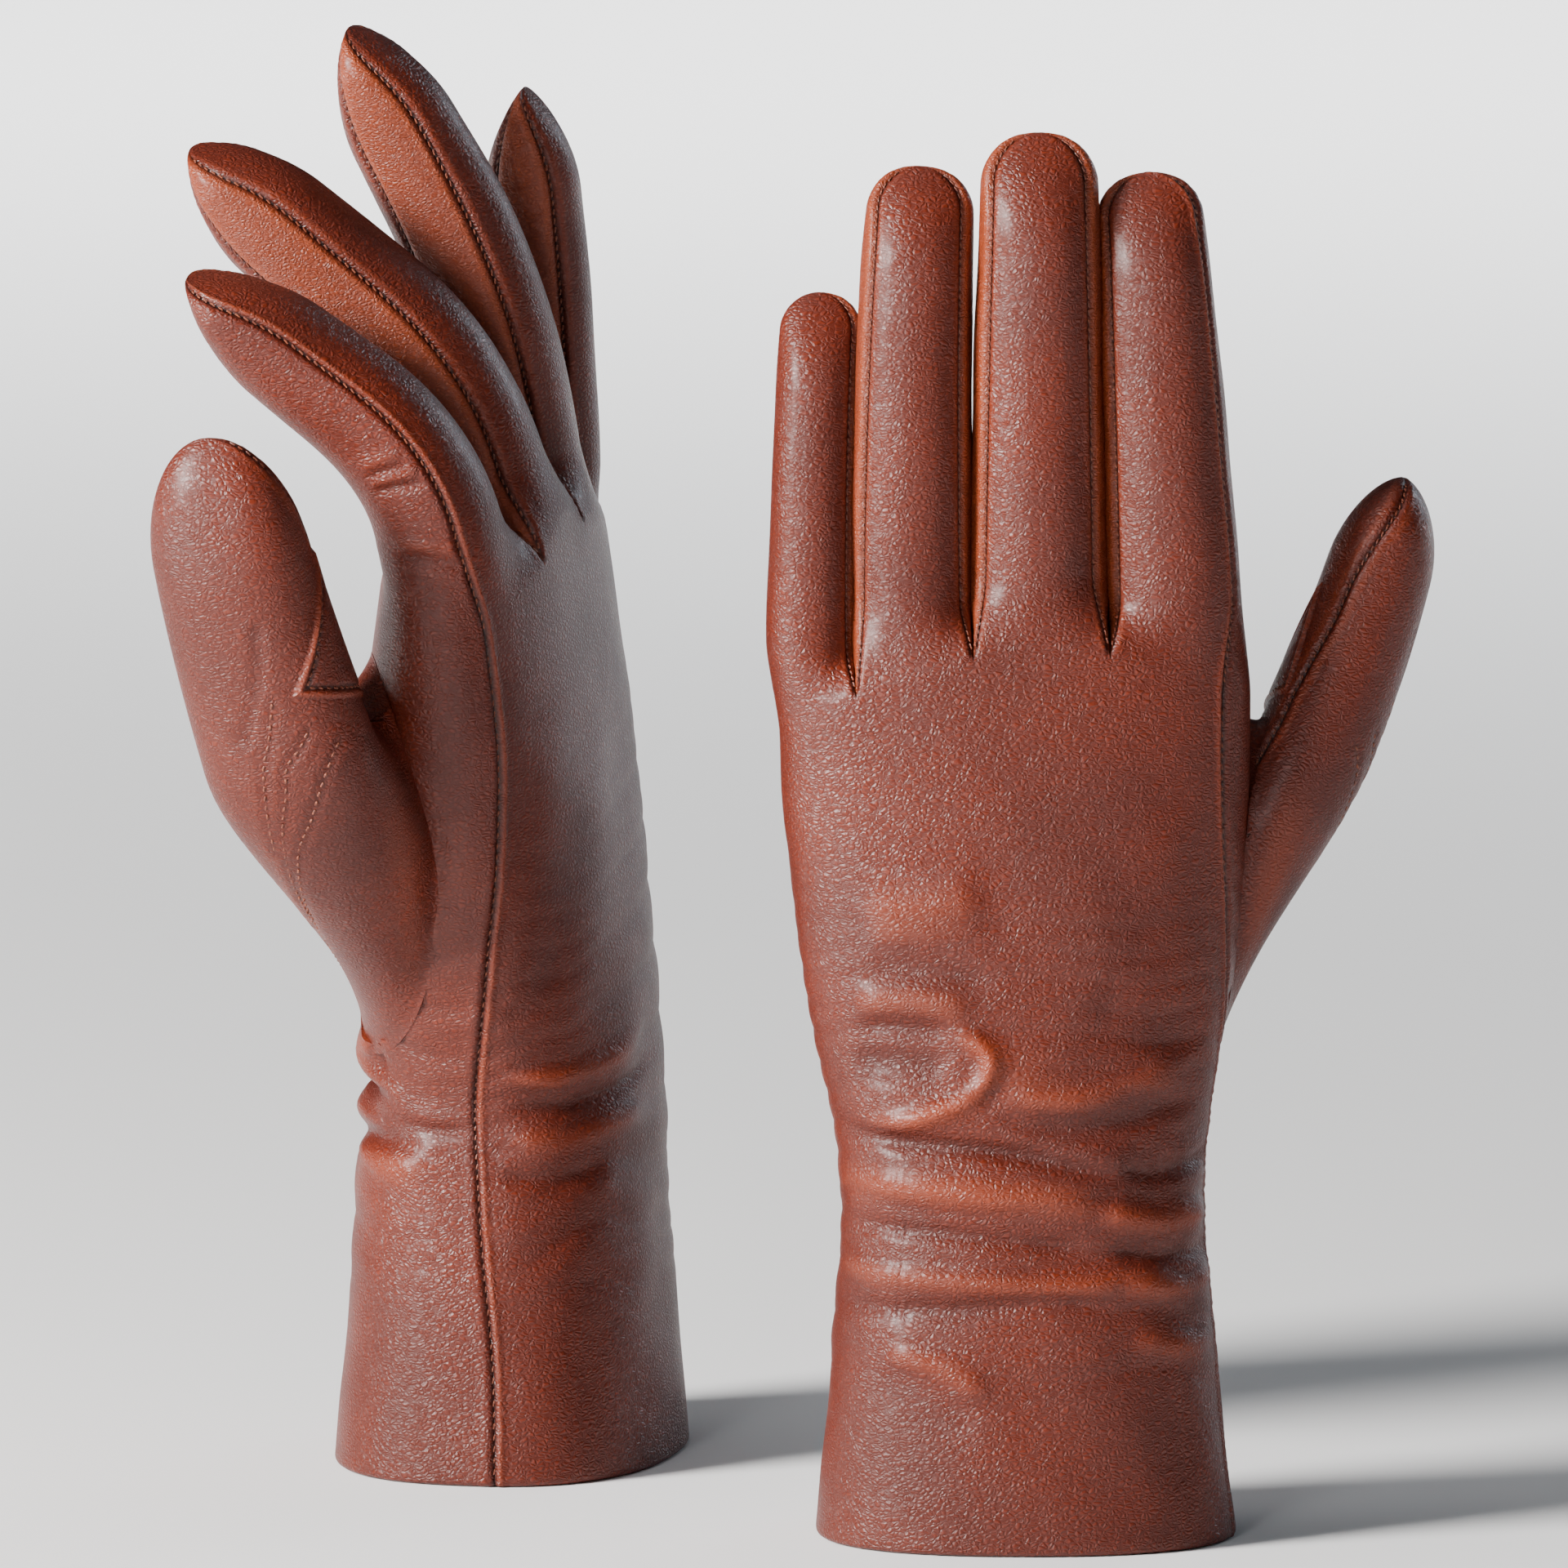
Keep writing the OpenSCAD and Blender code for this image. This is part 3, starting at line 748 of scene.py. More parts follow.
@dataclass(frozen=True)
class ThreadFinish:
    """Twisted sewing thread with a soft gloss."""

    name: str
    colour: tuple[float, float, float]
    # The lighter colour is a painted glint on the thread's plies.
    light: tuple[float, float, float]

    def build(self) -> bpy.types.Material:
        """Make the material.

        Returns:
            The material, with the plies as slanting bands.
        """
        material = bpy.data.materials.new(self.name)
        material.use_nodes = True
        n = Nodes(material.node_tree)
        shader = material.node_tree.nodes["Principled BSDF"]
        place = n.add("ShaderNodeTexCoord").outputs["Object"]
        ply = n.add("ShaderNodeTexWave", {"wave_type": "BANDS", "bands_direction": "DIAGONAL"}, Vector=place,
                    Scale=700.0, Distortion=1.0)
        shade = n.add("ShaderNodeTexNoise", None, Vector=place, Scale=160.0, Detail=2.0)
        # The plies are banded between the dark colour and the light one: a painted glint along the twist.
        tint = n.blend(n.maths("MULTIPLY", ply.outputs["Fac"], shade.outputs[0]), (*self.colour, 1.0),
                       (*self.light, 1.0))
        material.node_tree.links.new(tint, shader.inputs["Base Color"])
        material.node_tree.links.new(n.ramp(shade.outputs[0], 0.3, 0.7, 0.4, 0.6),
                                     shader.inputs["Roughness"])
        relief = n.add("ShaderNodeBump", None, Height=ply.outputs["Fac"], Strength=0.5, Distance=0.00008)
        material.node_tree.links.new(relief.outputs["Normal"], shader.inputs["Normal"])
        return material


class Finishes:
    """Every material of the pair, built once."""

    def __init__(self) -> None:
        """Build the shared groups and the materials."""
        grain, dye_and_shade = grain_group(), dye_and_shade_group()
        # Each leather's second colour is also its painted shade, and its third its painted highlight on
        # ridges and seam lips.
        self.leather = LeatherFinish("Chestnut leather", (0.145, 0.0172, 0.0042), (0.042, 0.0046, 0.0018),
                                     (0.27, 0.042, 0.011)).build(grain, dye_and_shade)
        self.fourchette = LeatherFinish("Fourchette leather", (0.25, 0.04, 0.009), (0.11, 0.015, 0.004),
                                        (0.36, 0.07, 0.02), 1100.0, 0.42).build(grain, dye_and_shade)
        self.thread = ThreadFinish("Chestnut thread", (0.1, 0.02, 0.009), (0.32, 0.09, 0.04)).build()
        self.lining = KnitFinish("Brown rib knit", (0.05, 0.022, 0.014), (0.14, 0.07, 0.045)).build()
        self.elastic = KnitFinish("Brown elastic", (0.04, 0.02, 0.014), (0.11, 0.06, 0.04), 0.0016).build()


# ---- A glove ----

THICK = 0.85
GROOVE_DEPTH = 0.55
PUCKER_PITCH = 1.5
BEAD_PITCH = 1.9
BASE_SPAN = 40.0
HOLE_SHARE = 0.96
FINGER_STITCHING = Stitching(PUCKER_PITCH, 1.05, 0.34, 14.0)
SIDE_STITCHING = Stitching(BEAD_PITCH, 1.1, 0.3, 12.0)
HEM_STITCHING = Stitching(2.6, 1.7, 0.4)
ROW_STITCHING = Stitching(1.8, 1.0, 0.5, 10.0)
QUIRK_STITCHING = Stitching(PUCKER_PITCH, 0.9, 0.4, 10.0)
# Rows of stitching and a pleat on the thumb: degrees round it and lengths along it, below 0 on its base
THUMB_ROWS = (
    ((308.0, 1.5), (334.0, -3.0), (348.0, -6.0), (360.0, -8.5), (370.0, -12.5), (378.0, -17.0),
     (383.0, -23.0), (385.0, -30.0), (386.0, -37.0)),
    ((330.0, 5.0), (340.0, 2.5), (352.0, 0.0), (360.0, -4.0), (368.0, -7.5), (377.0, -13.0),
     (384.0, -20.0)),
    ((348.0, 11.5), (358.0, 4.5), (366.0, -1.0), (370.0, -3.5), (378.0, -9.0)),
)
THUMB_PLEAT = ((344.0, 24.0), (351.0, 17.0), (360.0, 11.0), (368.0, 6.0))


class Side(Enum):
    """Which face of a glove a fold lies on."""

    BACK = -1
    PALM = 1


@dataclass(frozen=True)
class Fold:
    """A soft ridge, or a hollow if its height is below zero, along a curve on the hand.

    Each point is the angle round the hand and the height, and the ridge is a bell across the curve
    that fades out at its two ends.
    """

    points: tuple[tuple[float, float], ...]
    width: float
    height: float

    def lift(self, where: Array) -> Array:
        """Height of the ridge at each point.

        Args:
            where: Points on the hand, undisplaced.

        Returns:
            The lift in millimetres.
        """
        given = np.array(self.points)
        fine = np.linspace(0, len(given) - 1, 12 * len(given))
        knots = np.arange(len(given), dtype=float)
        angle, z = through(knots, given[:, 0], fine), through(knots, given[:, 1], fine)
        line = hand_skin(angle, z)
        gap = np.linalg.norm(where[..., None, :] - line, axis=-1)
        nearest = gap.argmin(-1)
        share = nearest / (len(fine) - 1)
        fade = smooth(np.minimum(share, 1.0 - share) * 3.5 + 0.12)
        return self.height * bump(gap.min(-1), self.width) * fade


def seam_relief(away: Array, along: Array) -> tuple[Array, Array]:
    """The drawn-in groove of a seam with its rolled lips and small puckers.

    Args:
        away: Distance from the seam.
        along: Distance along it.

    Returns:
        The lift in millimetres, and a mark that is 1 in the groove.
    """
    groove = -GROOVE_DEPTH * bump(away, 0.5) + 0.16 * bump(away - 1.4, 0.8)
    puckers = 0.07 * np.cos(along * 2 * math.pi / PUCKER_PITCH) * bump(away - 0.9, 1.0)
    return groove + puckers, bump(away, 0.36)


def beaded_relief(away: Array, along: Array) -> tuple[Array, Array]:
    """The side seam: a narrow groove with a rolled edge on its back side, gathered into beads.

    Args:
        away: Distance from the seam, above zero on the palm's side.
        along: Distance along it.

    Returns:
        The lift in millimetres, and a mark that is 1 in the groove.
    """
    beads = 0.8 + 0.2 * np.cos(along * 2 * math.pi / BEAD_PITCH)
    roll = 0.42 * beads * bump(away + 1.05, 0.55) + 0.18 * bump(away - 1.3, 0.9)
    pulls = 0.05 * np.cos(along * 2 * math.pi / BEAD_PITCH + away) * bump(away - 2.2, 1.8)
    return roll + pulls - GROOVE_DEPTH * bump(away, 0.42), bump(away, 0.36)


def unevenness(a: Array, b: Array) -> Array:
    """Soft rises of empty leather: a sum of slow waves in two directions, about half a millimetre."""
    return (0.16 * np.sin(a / 9.1 + 0.9 * np.sin(b / 13.0)) * np.sin(b / 11.3 + 1.0)
            + 0.1 * np.sin(a / 4.7 + b / 6.1 + 2.0) + 0.07 * np.sin(b / 3.9 - a / 8.3))


def gathers(a: Array, z: Array) -> Array:
    """Cross wrinkles of a drawn-in wrist: two sets of sharp-bottomed waves along the height.

    Their lines wander across the hand, and a slow wave lets them come and go.
    """
    line = z + 2.2 * np.sin(a / 13.0 + 0.7) + 1.4 * np.sin(a / 5.7 + z / 17.0)
    broad = np.abs(np.sin(math.pi * line / 10.0)) ** 0.7 - 0.7
    close = np.abs(np.sin(math.pi * (line * 1.9 + 1.5 * np.sin(a / 7.0)) / 10.0)) ** 0.8 - 0.66
    come = 0.55 + 0.45 * np.sin(a / 11.0 + z / 19.0 + 1.3)
    run = smooth((z - 24.0) / 14.0) * smooth((142.0 - z) / 58.0)
    return (0.55 * broad * come + 0.34 * close * (1.1 - come)) * run


@dataclass
class Glove:
    """One glove of the pair, with its sizes, its place in the pair and its meshes."""

    name: str
    mirrored: bool
    size: float
    turn: float
    tilt: float
    fingers: dict[str, Finger]
    loop_middle: tuple[float, float]
    loop_half: tuple[float, float]
    thumb_seam: tuple[tuple[float, float], ...]
    thumb_seam_start: float
    quirk_corners: tuple[tuple[float, float], ...]
    bulge: float
    folds: tuple[Fold, ...]
    finishes: Finishes
    bends: dict[str, tuple[tuple[float, float, float], ...]] = field(default_factory=dict)
    at: tuple[float, float] = (0.0, 0.0)
    made: list[str] = field(default_factory=list)

    def __post_init__(self) -> None:
        """Find where the cuff stands from the middle of the frame's hem."""
        low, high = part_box(f"{self.name}_cuff_hem")
        self.at = tuple((low[k] + high[k]) / 2 / TO_METRES for k in (0, 1))

    # -- Placing --

    def placed(self, points: Array) -> Array:
        """Carry points from the glove's own axes into the pair.

        Above the wrist they lean towards the thumb's side, and all turn about the upright and grow by
        the glove's size. The right glove is the mirror of the left, facing its own way.

        Args:
            points: Points in the glove's own axes.

        Returns:
            Points in the pair's frame.
        """
        r, p, z = points[..., 0], points[..., 1], points[..., 2]
        lean = math.radians(self.tilt) * smooth((z - 46.0) / 40.0)
        up = z - 66.0
        above = z >= 46.0
        r1 = np.where(above, r * np.cos(lean) + up * np.sin(lean), r)
        z1 = np.where(above, 66.0 + up * np.cos(lean) - r * np.sin(lean), z)
        turn = math.radians(self.turn)
        r2 = (r1 * math.cos(turn) - p * math.sin(turn)) * self.size
        p2 = (p * math.cos(turn) + r1 * math.sin(turn)) * self.size
        if self.mirrored:
            return np.stack([self.at[0] - p2, self.at[1] - r2, z1 * self.size], -1)
        return np.stack([self.at[0] + r2, self.at[1] + p2, z1 * self.size], -1)

    def spot(self, point: Sequence[float]) -> tuple[float, float, float]:
        """One point of the pair's frame in metres, for a point in the glove's own axes."""
        return tuple(float(c) * TO_METRES for c in self.placed(np.array(point, float)))

    def wound(self, faces: Array) -> Array:
        """Faces turned round if the glove is a mirror image."""
        return faces[:, ::-1] if self.mirrored else faces

    # -- Making and riding --

    def piece(self, name: str, points: Array, faces: Array, material: bpy.types.Material, slot: str,
              nodes: Sequence[str] = (), marks: dict[str, Array] | None = None) -> bpy.types.Object:
        """Make one piece from points in the glove's own axes.

        Args:
            name: The piece's name without the glove's.
            points: Points.
            faces: Faces wound outwards in the glove's own axes.
            material: Finish.
            slot: The material slot's name; not used.
            nodes: CAD nodes that the piece stands for, without the glove's name.
            marks: Values at the points.

        Returns:
            The object, named, with the CAD nodes that it stands for hidden.
        """
        obj = make_mesh(f"{self.name}_{name}", self.placed(points), self.wound(faces), material, marks)
        if nodes:
            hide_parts(*[f"{self.name}_{node}" for node in nodes])
        self.made.append(obj.name)
        LOG.info("made %s with %d faces", obj.name, len(obj.data.polygons))
        return obj

    def ride_hand(self, obj: bpy.types.Object) -> None:
        """Let a piece move with the hand."""
        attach(obj, f"{self.name}_hand")

    def ride_finger(self, obj: bpy.types.Object, which: str) -> None:
        """Bake a piece's placement into its mesh; where its finger's blend from the hand would start and end
        is worked out but not used.

        Args:
            obj: The piece.
            which: The finger's name.
        """
        finger = self.fingers[which]
        along = finger.axes(np.zeros(1))[0][0]
        base = np.array(finger.base)
        if which == "thumb":
            start = base + 0.6 * along
        else:
            tops = [knuckle_line(r) for r in self.root_span(which)]
            start = base + along * (max(tops) + 1.5 - base[2])
        end = start + 19.0 * along
        self.spot(start)
        self.spot(end)
        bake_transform(obj)

    def root_span(self, which: str) -> tuple[float, ...]:
        """Places across the hand where a finger's root is highest or lowest."""
        return {"index": (INDEX_FORK, 30.0), "middle": (INDEX_FORK, KNUCKLE_MIDDLE, MIDDLE_FORK),
                "ring": (MIDDLE_FORK, RING_FORK), "little": (RING_FORK, -40.0)}[which]

    # -- Hand --

    def columns(self, strip: Strip) -> Array:
        """Degrees round the finger of a strip's columns, closer together beside its seams."""
        crowded = [strip.start, strip.end] + ([SIDE_SEAM_ON_FINGER] if strip.side_seam else [])
        if strip.kind is StripKind.FOURCHETTE:
            return spread(strip.start, strip.end, crowded, 2.4, 5.0)
        return spread(strip.start, strip.end, crowded, 2.0, 5.6)

    def drawn_in(self, angle: Array, z: Array) -> Array:
        """Rise and fall of the hand's skin from its folds and gathers, which its lining follows too.

        Args:
            angle: Degrees round the hand.
            z: Height.

        Returns:
            The lift in millimetres.
        """
        where = hand_skin(angle, z)
        turn = np.radians(angle)
        soft = unevenness(where[..., 0] + 40.0 * np.sin(turn), z) * smooth((146.0 - z) / 20.0)
        soft = soft + gathers(40.0 * np.sin(turn) + 12.0 * np.cos(turn), z)
        return (sum(fold.lift(where) for fold in self.folds) + soft) * smooth(z / 14.0)

    def hand_lift(self, angle: Array, z: Array) -> tuple[Array, Array, Array]:
        """Relief of the hand's leather: the side seam, the folds and fine cross creases at the wrist.

        Args:
            angle: Degrees round the hand.
            z: Height.

        Returns:
            The lift, the seam mark and the ridge mark.
        """
        step = np.linalg.norm(hand_skin(angle + 0.5, z) - hand_skin(angle - 0.5, z), axis=-1)
        away = ((angle - side_seam_angle(z) + 180.0) % 360.0 - 180.0) * step
        lift, mark = beaded_relief(away, z)
        drawn = self.drawn_in(angle, z)
        lift = lift + drawn * (1.0 - 0.6 * bump(away, 3.0))
        # The finish lightens high ridge marks on raised folds and the rolled lip as painted highlight and
        # darkens low ones in hollows as painted shade; the seam mark darkens the groove as painted shade.
        ridge = np.clip(0.5 + drawn * 0.28 + 0.3 * bump(away + 1.05, 0.5), 0.0, 1.0)
        return lift, mark, ridge

    def in_thumb_hole(self, angle: Array, z: Array, share: float) -> Array:
        """Whether a place on the hand is inside a share of the thumb's loop."""
        middle, half = self.loop_middle, self.loop_half
        across = (angle - middle[0] + 180.0) % 360.0 - 180.0
        return (across / half[0]) ** 2 + ((z - middle[1]) / half[1]) ** 2 < share ** 2

    def build_hand(self) -> None:
        """The hand: one skin all the way round from the folded cuff to the knuckle line."""
        order = [("little", 0), ("ring", 0), ("middle", 0), ("index", 0), ("middle", 2), ("ring", 2)]
        runs = []
        for which, k in order:
            strip = FINGER_STRIPS[which][k]
            runs.append(strip.at_hand(self.columns(strip))[:-1] % 360.0)
        base = np.concatenate(runs)
        fold_rows = np.array([0.0, 0.06, 0.25, 0.55, 0.85])
        share = np.linspace(0.0, 1.0, 196)[1:]
        z = np.concatenate([np.repeat(fold_rows[:, None], len(base), 1),
                            1.2 + share[:, None] * (hand_top(base) - 1.2)])
        shift = (side_seam_angle(z) - side_seam_angle(np.full(1, 160.0)))
        away = (base - SIDE_SEAM_AT_KNUCKLES + 180.0) % 360.0 - 180.0
        falloff = np.clip(1.0 - (away / 62.0) ** 2, 0.0, 1.0) ** 2
        angle = base + shift * falloff
        lift, seam, ridge = self.hand_lift(angle, z)
        roll = 0.9 * (1.0 - np.sqrt(np.clip(1.0 - np.clip(1.0 - z / 0.9, 0.0, 1.0) ** 2, 0.0, 1.0)))
        normals = outward(hand_skin, angle, z)
        outer = hand_skin(angle, z) + normals * (lift - roll)[..., None]
        inner = outer - normals * np.maximum(THICK - roll, 0.02)[..., None]
        faces = grid_faces(*angle.shape, True)
        cut = self.in_thumb_hole(angle, z, HOLE_SHARE).ravel()
        faces = faces[~cut[faces].all(1)]
        points, walls = shell(outer.reshape(-1, 3), inner.reshape(-1, 3), faces)
        kept = np.unique(np.concatenate([faces.ravel(), faces.ravel() + angle.size]))
        marks = {"seam": np.tile(seam.ravel(), 2)[kept], "ridge": np.tile(ridge.ravel(), 2)[kept]}
        hand = self.piece("hand_leather", points, walls, self.finishes.leather, "leather",
                          ["hand_leather"], marks)
        self.ride_hand(hand)

    def build_cuff(self) -> None:
        """The turned-up hem inside the cuff, its stitches, the lining and the elastic."""
        turn = np.arange(0.0, 360.0, 3.0)
        for name, low, high, inset, thick, material, slot, nodes in (
                ("cuff_hem", 0.05, 12.0, 0.92, 0.8, self.finishes.leather, "leather", ["cuff_hem"]),
                ("hand_lining", 12.4, 0.0, 1.6, 0.8, self.finishes.lining, "lining", ["hand_lining"]),
                ("wrist_elastic", 62.0, 70.0, 2.6, 0.7, self.finishes.elastic, "elastic",
                 ["wrist_elastic"])):
            span = turn if name != "wrist_elastic" else np.linspace(35.0, 145.0, 45)
            rows = np.linspace(0.0, 1.0, 110 if name == "hand_lining" else 14)
            top = high if high else hand_top(span) - 3.0
            z = low + rows[:, None] * (top - low) + 0 * span
            angle = span + 0 * z
            wave = 0.12 * np.cos(z * 2 * math.pi / 2.0) if name == "wrist_elastic" else 0.0
            follow = (self.drawn_in(angle, z) if slot != "leather" else 0.0 * z)[..., None] \
                * outward(hand_skin, angle, z)
            outer = hand_skin(angle, z, inset) + follow
            inner = hand_skin(angle, z, inset + thick + wave) + follow
            faces = grid_faces(*angle.shape, name != "wrist_elastic")
            points, walls = shell(outer.reshape(-1, 3), inner.reshape(-1, 3), faces)
            self.ride_hand(self.piece(name, points, walls, material, slot, nodes))
        path = hand_skin(np.linspace(0.0, 360.0, 200), np.full(200, 10.4), 1.74)
        inward = -outward(hand_skin, np.linspace(0.0, 360.0, 200), np.full(200, 10.4))
        points, faces = stitches(path, inward, HEM_STITCHING)
        self.ride_hand(self.piece("hem_stitches", points, faces, self.finishes.thread, "thread"))

    def build_side_seam(self) -> None:
        """Thread that shows in the side seam's groove, from the cuff to the knuckle line."""
        z = np.linspace(1.5, 149.0, 400)
        angle = side_seam_angle(z)
        normals = outward(hand_skin, angle, z)
        path = hand_skin(angle, z) - normals * (GROOVE_DEPTH - 0.12)
        points, faces = stitches(path, normals, SIDE_STITCHING)
        self.ride_hand(self.piece("side_seam_thread", points, faces, self.finishes.thread, "thread",
                                  ["side_seam_thread"]))

    def build_forks(self) -> None:
        """A small saddle of leather under each fork, between the back and the palm."""
        for name, r in FORKS.items():
            palm = float(hand_angle(r))
            across = np.linspace(-1.0, 1.0, 13)
            along = np.linspace(0.0, 1.0, 17)
            edge = hand_skin(np.array([360.0 - palm, palm]), np.full(2, float(knuckle_line(r))), 0.9)
            centre = mix(edge[0], edge[1], along[:, None])
            u, v = np.meshgrid(along, across, indexing="ij")
            drop = 0.9 + FORK_DIP * (1.0 - (2.0 * u - 1.0) ** 2) + 1.6 * v ** 2
            skin = centre[:, None] + np.stack([2.4 * v, 0 * v, -drop], -1)
            under = skin - np.array([0.0, 0.0, 0.6])
            faces = grid_faces(*u.shape, False)[:, ::-1]
            points, walls = shell(skin.reshape(-1, 3), under.reshape(-1, 3), faces[:, ::-1])
            self.ride_hand(self.piece(name, points, walls, self.finishes.fourchette, "fourchette", [name]))

    # -- Fingers --

    def build_finger(self, which: str) -> None:
        """A finger's strips with their seams, its thread and its lining.

        Args:
            which: The finger's name.
        """
        finger = self.fingers[which]
        strips = FINGER_STRIPS[which]
        z = finger.rows(0.62, 20)
        rows: list[tuple[float, Array, Array]] = []
        for k, strip in enumerate(strips):
            surface = strip.surface(finger)
            angle, length = np.meshgrid(self.columns(strip), z)
            point, normal = surface(angle, length), outward(surface, angle, length)
            for edge, other in ((0, strips[k - 1]), (-1, strips[(k + 1) % len(strips)])):
                mark = (strip.start, strip.end)[edge]
                beside = (other.end, other.start)[edge]
                theirs = outward(other.surface(finger), np.full(len(z), beside), z)
                shared = unit(normal[:, edge] + theirs)
                away = np.linalg.norm(point - point[:, edge:edge + 1 or None], axis=-1)
                share = smooth(away / 2.4)[..., None]
                normal = unit(mix(shared[:, None], normal, share))
                if edge == 0:
                    edge_away = away
                else:
                    edge_away = np.minimum(edge_away, away)
                rows.append((mark, point[:, edge], shared))
            fade = smooth(length / 2.5) * finger.closing(finger.tip_depth, length / finger.length) ** 0.4
            # The seam mark darkens the grooves as painted shade; the ridge mark lightens the seams' lips as
            # painted highlight and darkens the bend creases as painted shade.
            lift, seam = seam_relief(edge_away, length)
            lift, seam = lift * fade, seam * fade
            ridge = np.full(lift.shape, 0.5) + 0.2 * bump(edge_away - 1.4, 0.7) * fade
            soft = unevenness(finger.width[0] * np.radians(angle) + 7.0 * finger.width[1], length)
            lift = lift + 0.8 * soft * smooth(edge_away / 3.0) * smooth(length / 16.0) * fade
            for crease in self.bends.get(which, ()):
                within = smooth((angle - crease[0]) / 6.0) * smooth((crease[1] - angle) / 10.0)
                off = length - crease[2] - 0.06 * (angle - crease[0])
                dent = within * (0.35 * bump(off - 2.0, 1.4) - 0.75 * bump(off, 0.7))
                lift, ridge = lift + dent, ridge + 0.4 * dent
            if strip.kind is StripKind.FOURCHETTE:
                across = 2.0 * (angle - strip.start) / (strip.end - strip.start) - 1.0
                lift = lift + self.bulge * (1.0 - across ** 2) * smooth(length / 9.0) * fade
            if strip.side_seam:
                at = angle - SIDE_SEAM_ON_FINGER
                step = np.linalg.norm(surface(angle + 0.5, length) - surface(angle - 0.5, length), axis=-1)
                along = length + float(hand_top(np.full(1, SIDE_SEAM_AT_KNUCKLES))[0])
                more, mark_more = beaded_relief(at * step, along)
                tip = finger.closing(finger.tip_width, length / finger.length) ** 0.5
                lift, seam = lift + more * tip, np.maximum(seam, mark_more * tip)
                ridge = ridge + 0.3 * bump(at * step + 1.05, 0.5) * tip
            outer = point + normal * lift[..., None]
            thin = THICK * np.minimum(1.0, finger.closing(finger.tip_depth, length / finger.length) * 1.1)
            inner = outer - normal * thin[..., None]
            faces = grid_faces(*angle.shape, False)
            points, walls = shell(outer.reshape(-1, 3), inner.reshape(-1, 3), faces)
            marks = {"seam": np.tile(seam.ravel(), 2), "ridge": np.tile(np.clip(ridge, 0, 1).ravel(), 2)}
            is_cut = strip.kind is StripKind.FROM_HAND
            obj = self.piece(f"{which}_{strip.name}", points, walls,
                             self.finishes.leather if is_cut else self.finishes.fourchette,
                             "leather" if is_cut else "fourchette", [f"{which}_{strip.name}"], marks)
            self.ride_finger(obj, which)
            if strip.side_seam:
                rows.append((SIDE_SEAM_ON_FINGER, surface(np.full(len(z), SIDE_SEAM_ON_FINGER), z),
                             outward(surface, np.full(len(z), SIDE_SEAM_ON_FINGER), z)))
        self.build_finger_thread(which, rows, z)
        self.build_finger_lining(which)

    def build_finger_thread(self, which: str, rows: list[tuple[float, Array, Array]], z: Array) -> None:
        """Thread in the grooves of one finger's seams.

        Args:
            which: The finger's name.
            rows: Angle, points and normals of each seam's line.
            z: Lengths of the lines' points.
        """
        finger = self.fingers[which]
        seen: set[float] = set()
        meshes = []
        for angle, line, normal in rows:
            if angle % 360.0 in seen:
                continue
            seen.add(angle % 360.0)
            kept = (z < finger.length - 1.0) & (z > (2.0 if angle != SIDE_SEAM_ON_FINGER else 0.6))
            path = line[kept] - normal[kept] * (GROOVE_DEPTH - 0.36) \
                * finger.closing(finger.tip_depth, z[kept] / finger.length)[:, None] ** 0.4
            meshes.append(stitches(path, normal[kept], FINGER_STITCHING))
        obj = self.piece(f"{which}_seam_thread", *joined(meshes), self.finishes.thread, "thread")
        self.ride_finger(obj, which)

    def build_finger_lining(self, which: str) -> None:
        """The knitted tube inside a finger: the finger's own surface, set in and ended short of the tip."""
        finger = self.fingers[which]
        angle, z = np.meshgrid(np.arange(0.0, 360.0, 12.0), np.linspace(1.0, finger.length - 6.0, 40))
        outer, inner = finger.skin(angle, z, 2.1), finger.skin(angle, z, 2.8)
        points, walls = shell(outer.reshape(-1, 3), inner.reshape(-1, 3), grid_faces(*angle.shape, True))
        obj = self.piece(f"{which}_lining", points, walls, self.finishes.lining, "lining",
                         [f"{which}_lining"])
        self.ride_finger(obj, which)

    # -- Thumb --

    def loop(self, theta: Array) -> Array:
        """Angle and height on the hand of the thumb's seam loop: an oval about its middle."""
        turn = np.radians(theta)
        return np.stack([self.loop_middle[0] + self.loop_half[0] * np.sin(turn),
                         self.loop_middle[1] - self.loop_half[1] * np.cos(turn)], -1)

    def thumb_base(self, theta: Array, share: Array) -> Array:
        """The thumb's base, from its loop on the hand at 0 to the thumb's first ring at 1.

        Each line is a cubic that leaves the loop along the hand towards the ring and arrives along the
        thumb, with both speeds in proportion to the gap.

        Args:
            theta: Degrees round the thumb.
            share: Share of the way up.

        Returns:
            Points in the glove's own axes.
        """
        theta, share = np.broadcast_arrays(theta, share)
        at = self.loop(theta)
        normal = outward(hand_skin, at[..., 0], at[..., 1])
        first = hand_skin(at[..., 0], at[..., 1]) + 0.06 * normal
        thumb = self.fingers["thumb"]
        last = thumb.skin(theta, np.zeros(theta.shape))
        arrive = unit(thumb.skin(theta, np.full(theta.shape, 0.3)) - last)
        gap = last - first
        reach = np.linalg.norm(gap, axis=-1, keepdims=True)
        flat = gap - normal * np.sum(gap * normal, -1, keepdims=True)
        leave = unit(flat) * reach * 0.75
        arrive = arrive * reach * 0.9
        s = share[..., None]
        return ((2 * s ** 3 - 3 * s ** 2 + 1) * first + (s ** 3 - 2 * s ** 2 + s) * leave
                + (3 * s ** 2 - 2 * s ** 3) * last + (s ** 3 - s ** 2) * arrive)

    def thumb_skin(self, theta: Array, z: Array) -> Array:
        """The thumb to its tip from below its ring, where z is below 0 and the span is the whole base."""
        theta, z = np.broadcast_arrays(theta, z)
        low = self.thumb_base(theta, np.clip(1.0 + z / BASE_SPAN, 0.0, 1.0))
        high = self.fingers["thumb"].skin(theta, np.maximum(z, 0.0))
        return np.where((z < 0.0)[..., None], low, high)

    def thumb_seam_angle(self, z: Array) -> Array:
        """Degrees round the thumb where its seam runs, by length along the thumb."""
        given = np.array(self.thumb_seam)
        return through(given[:, 0], given[:, 1], z)

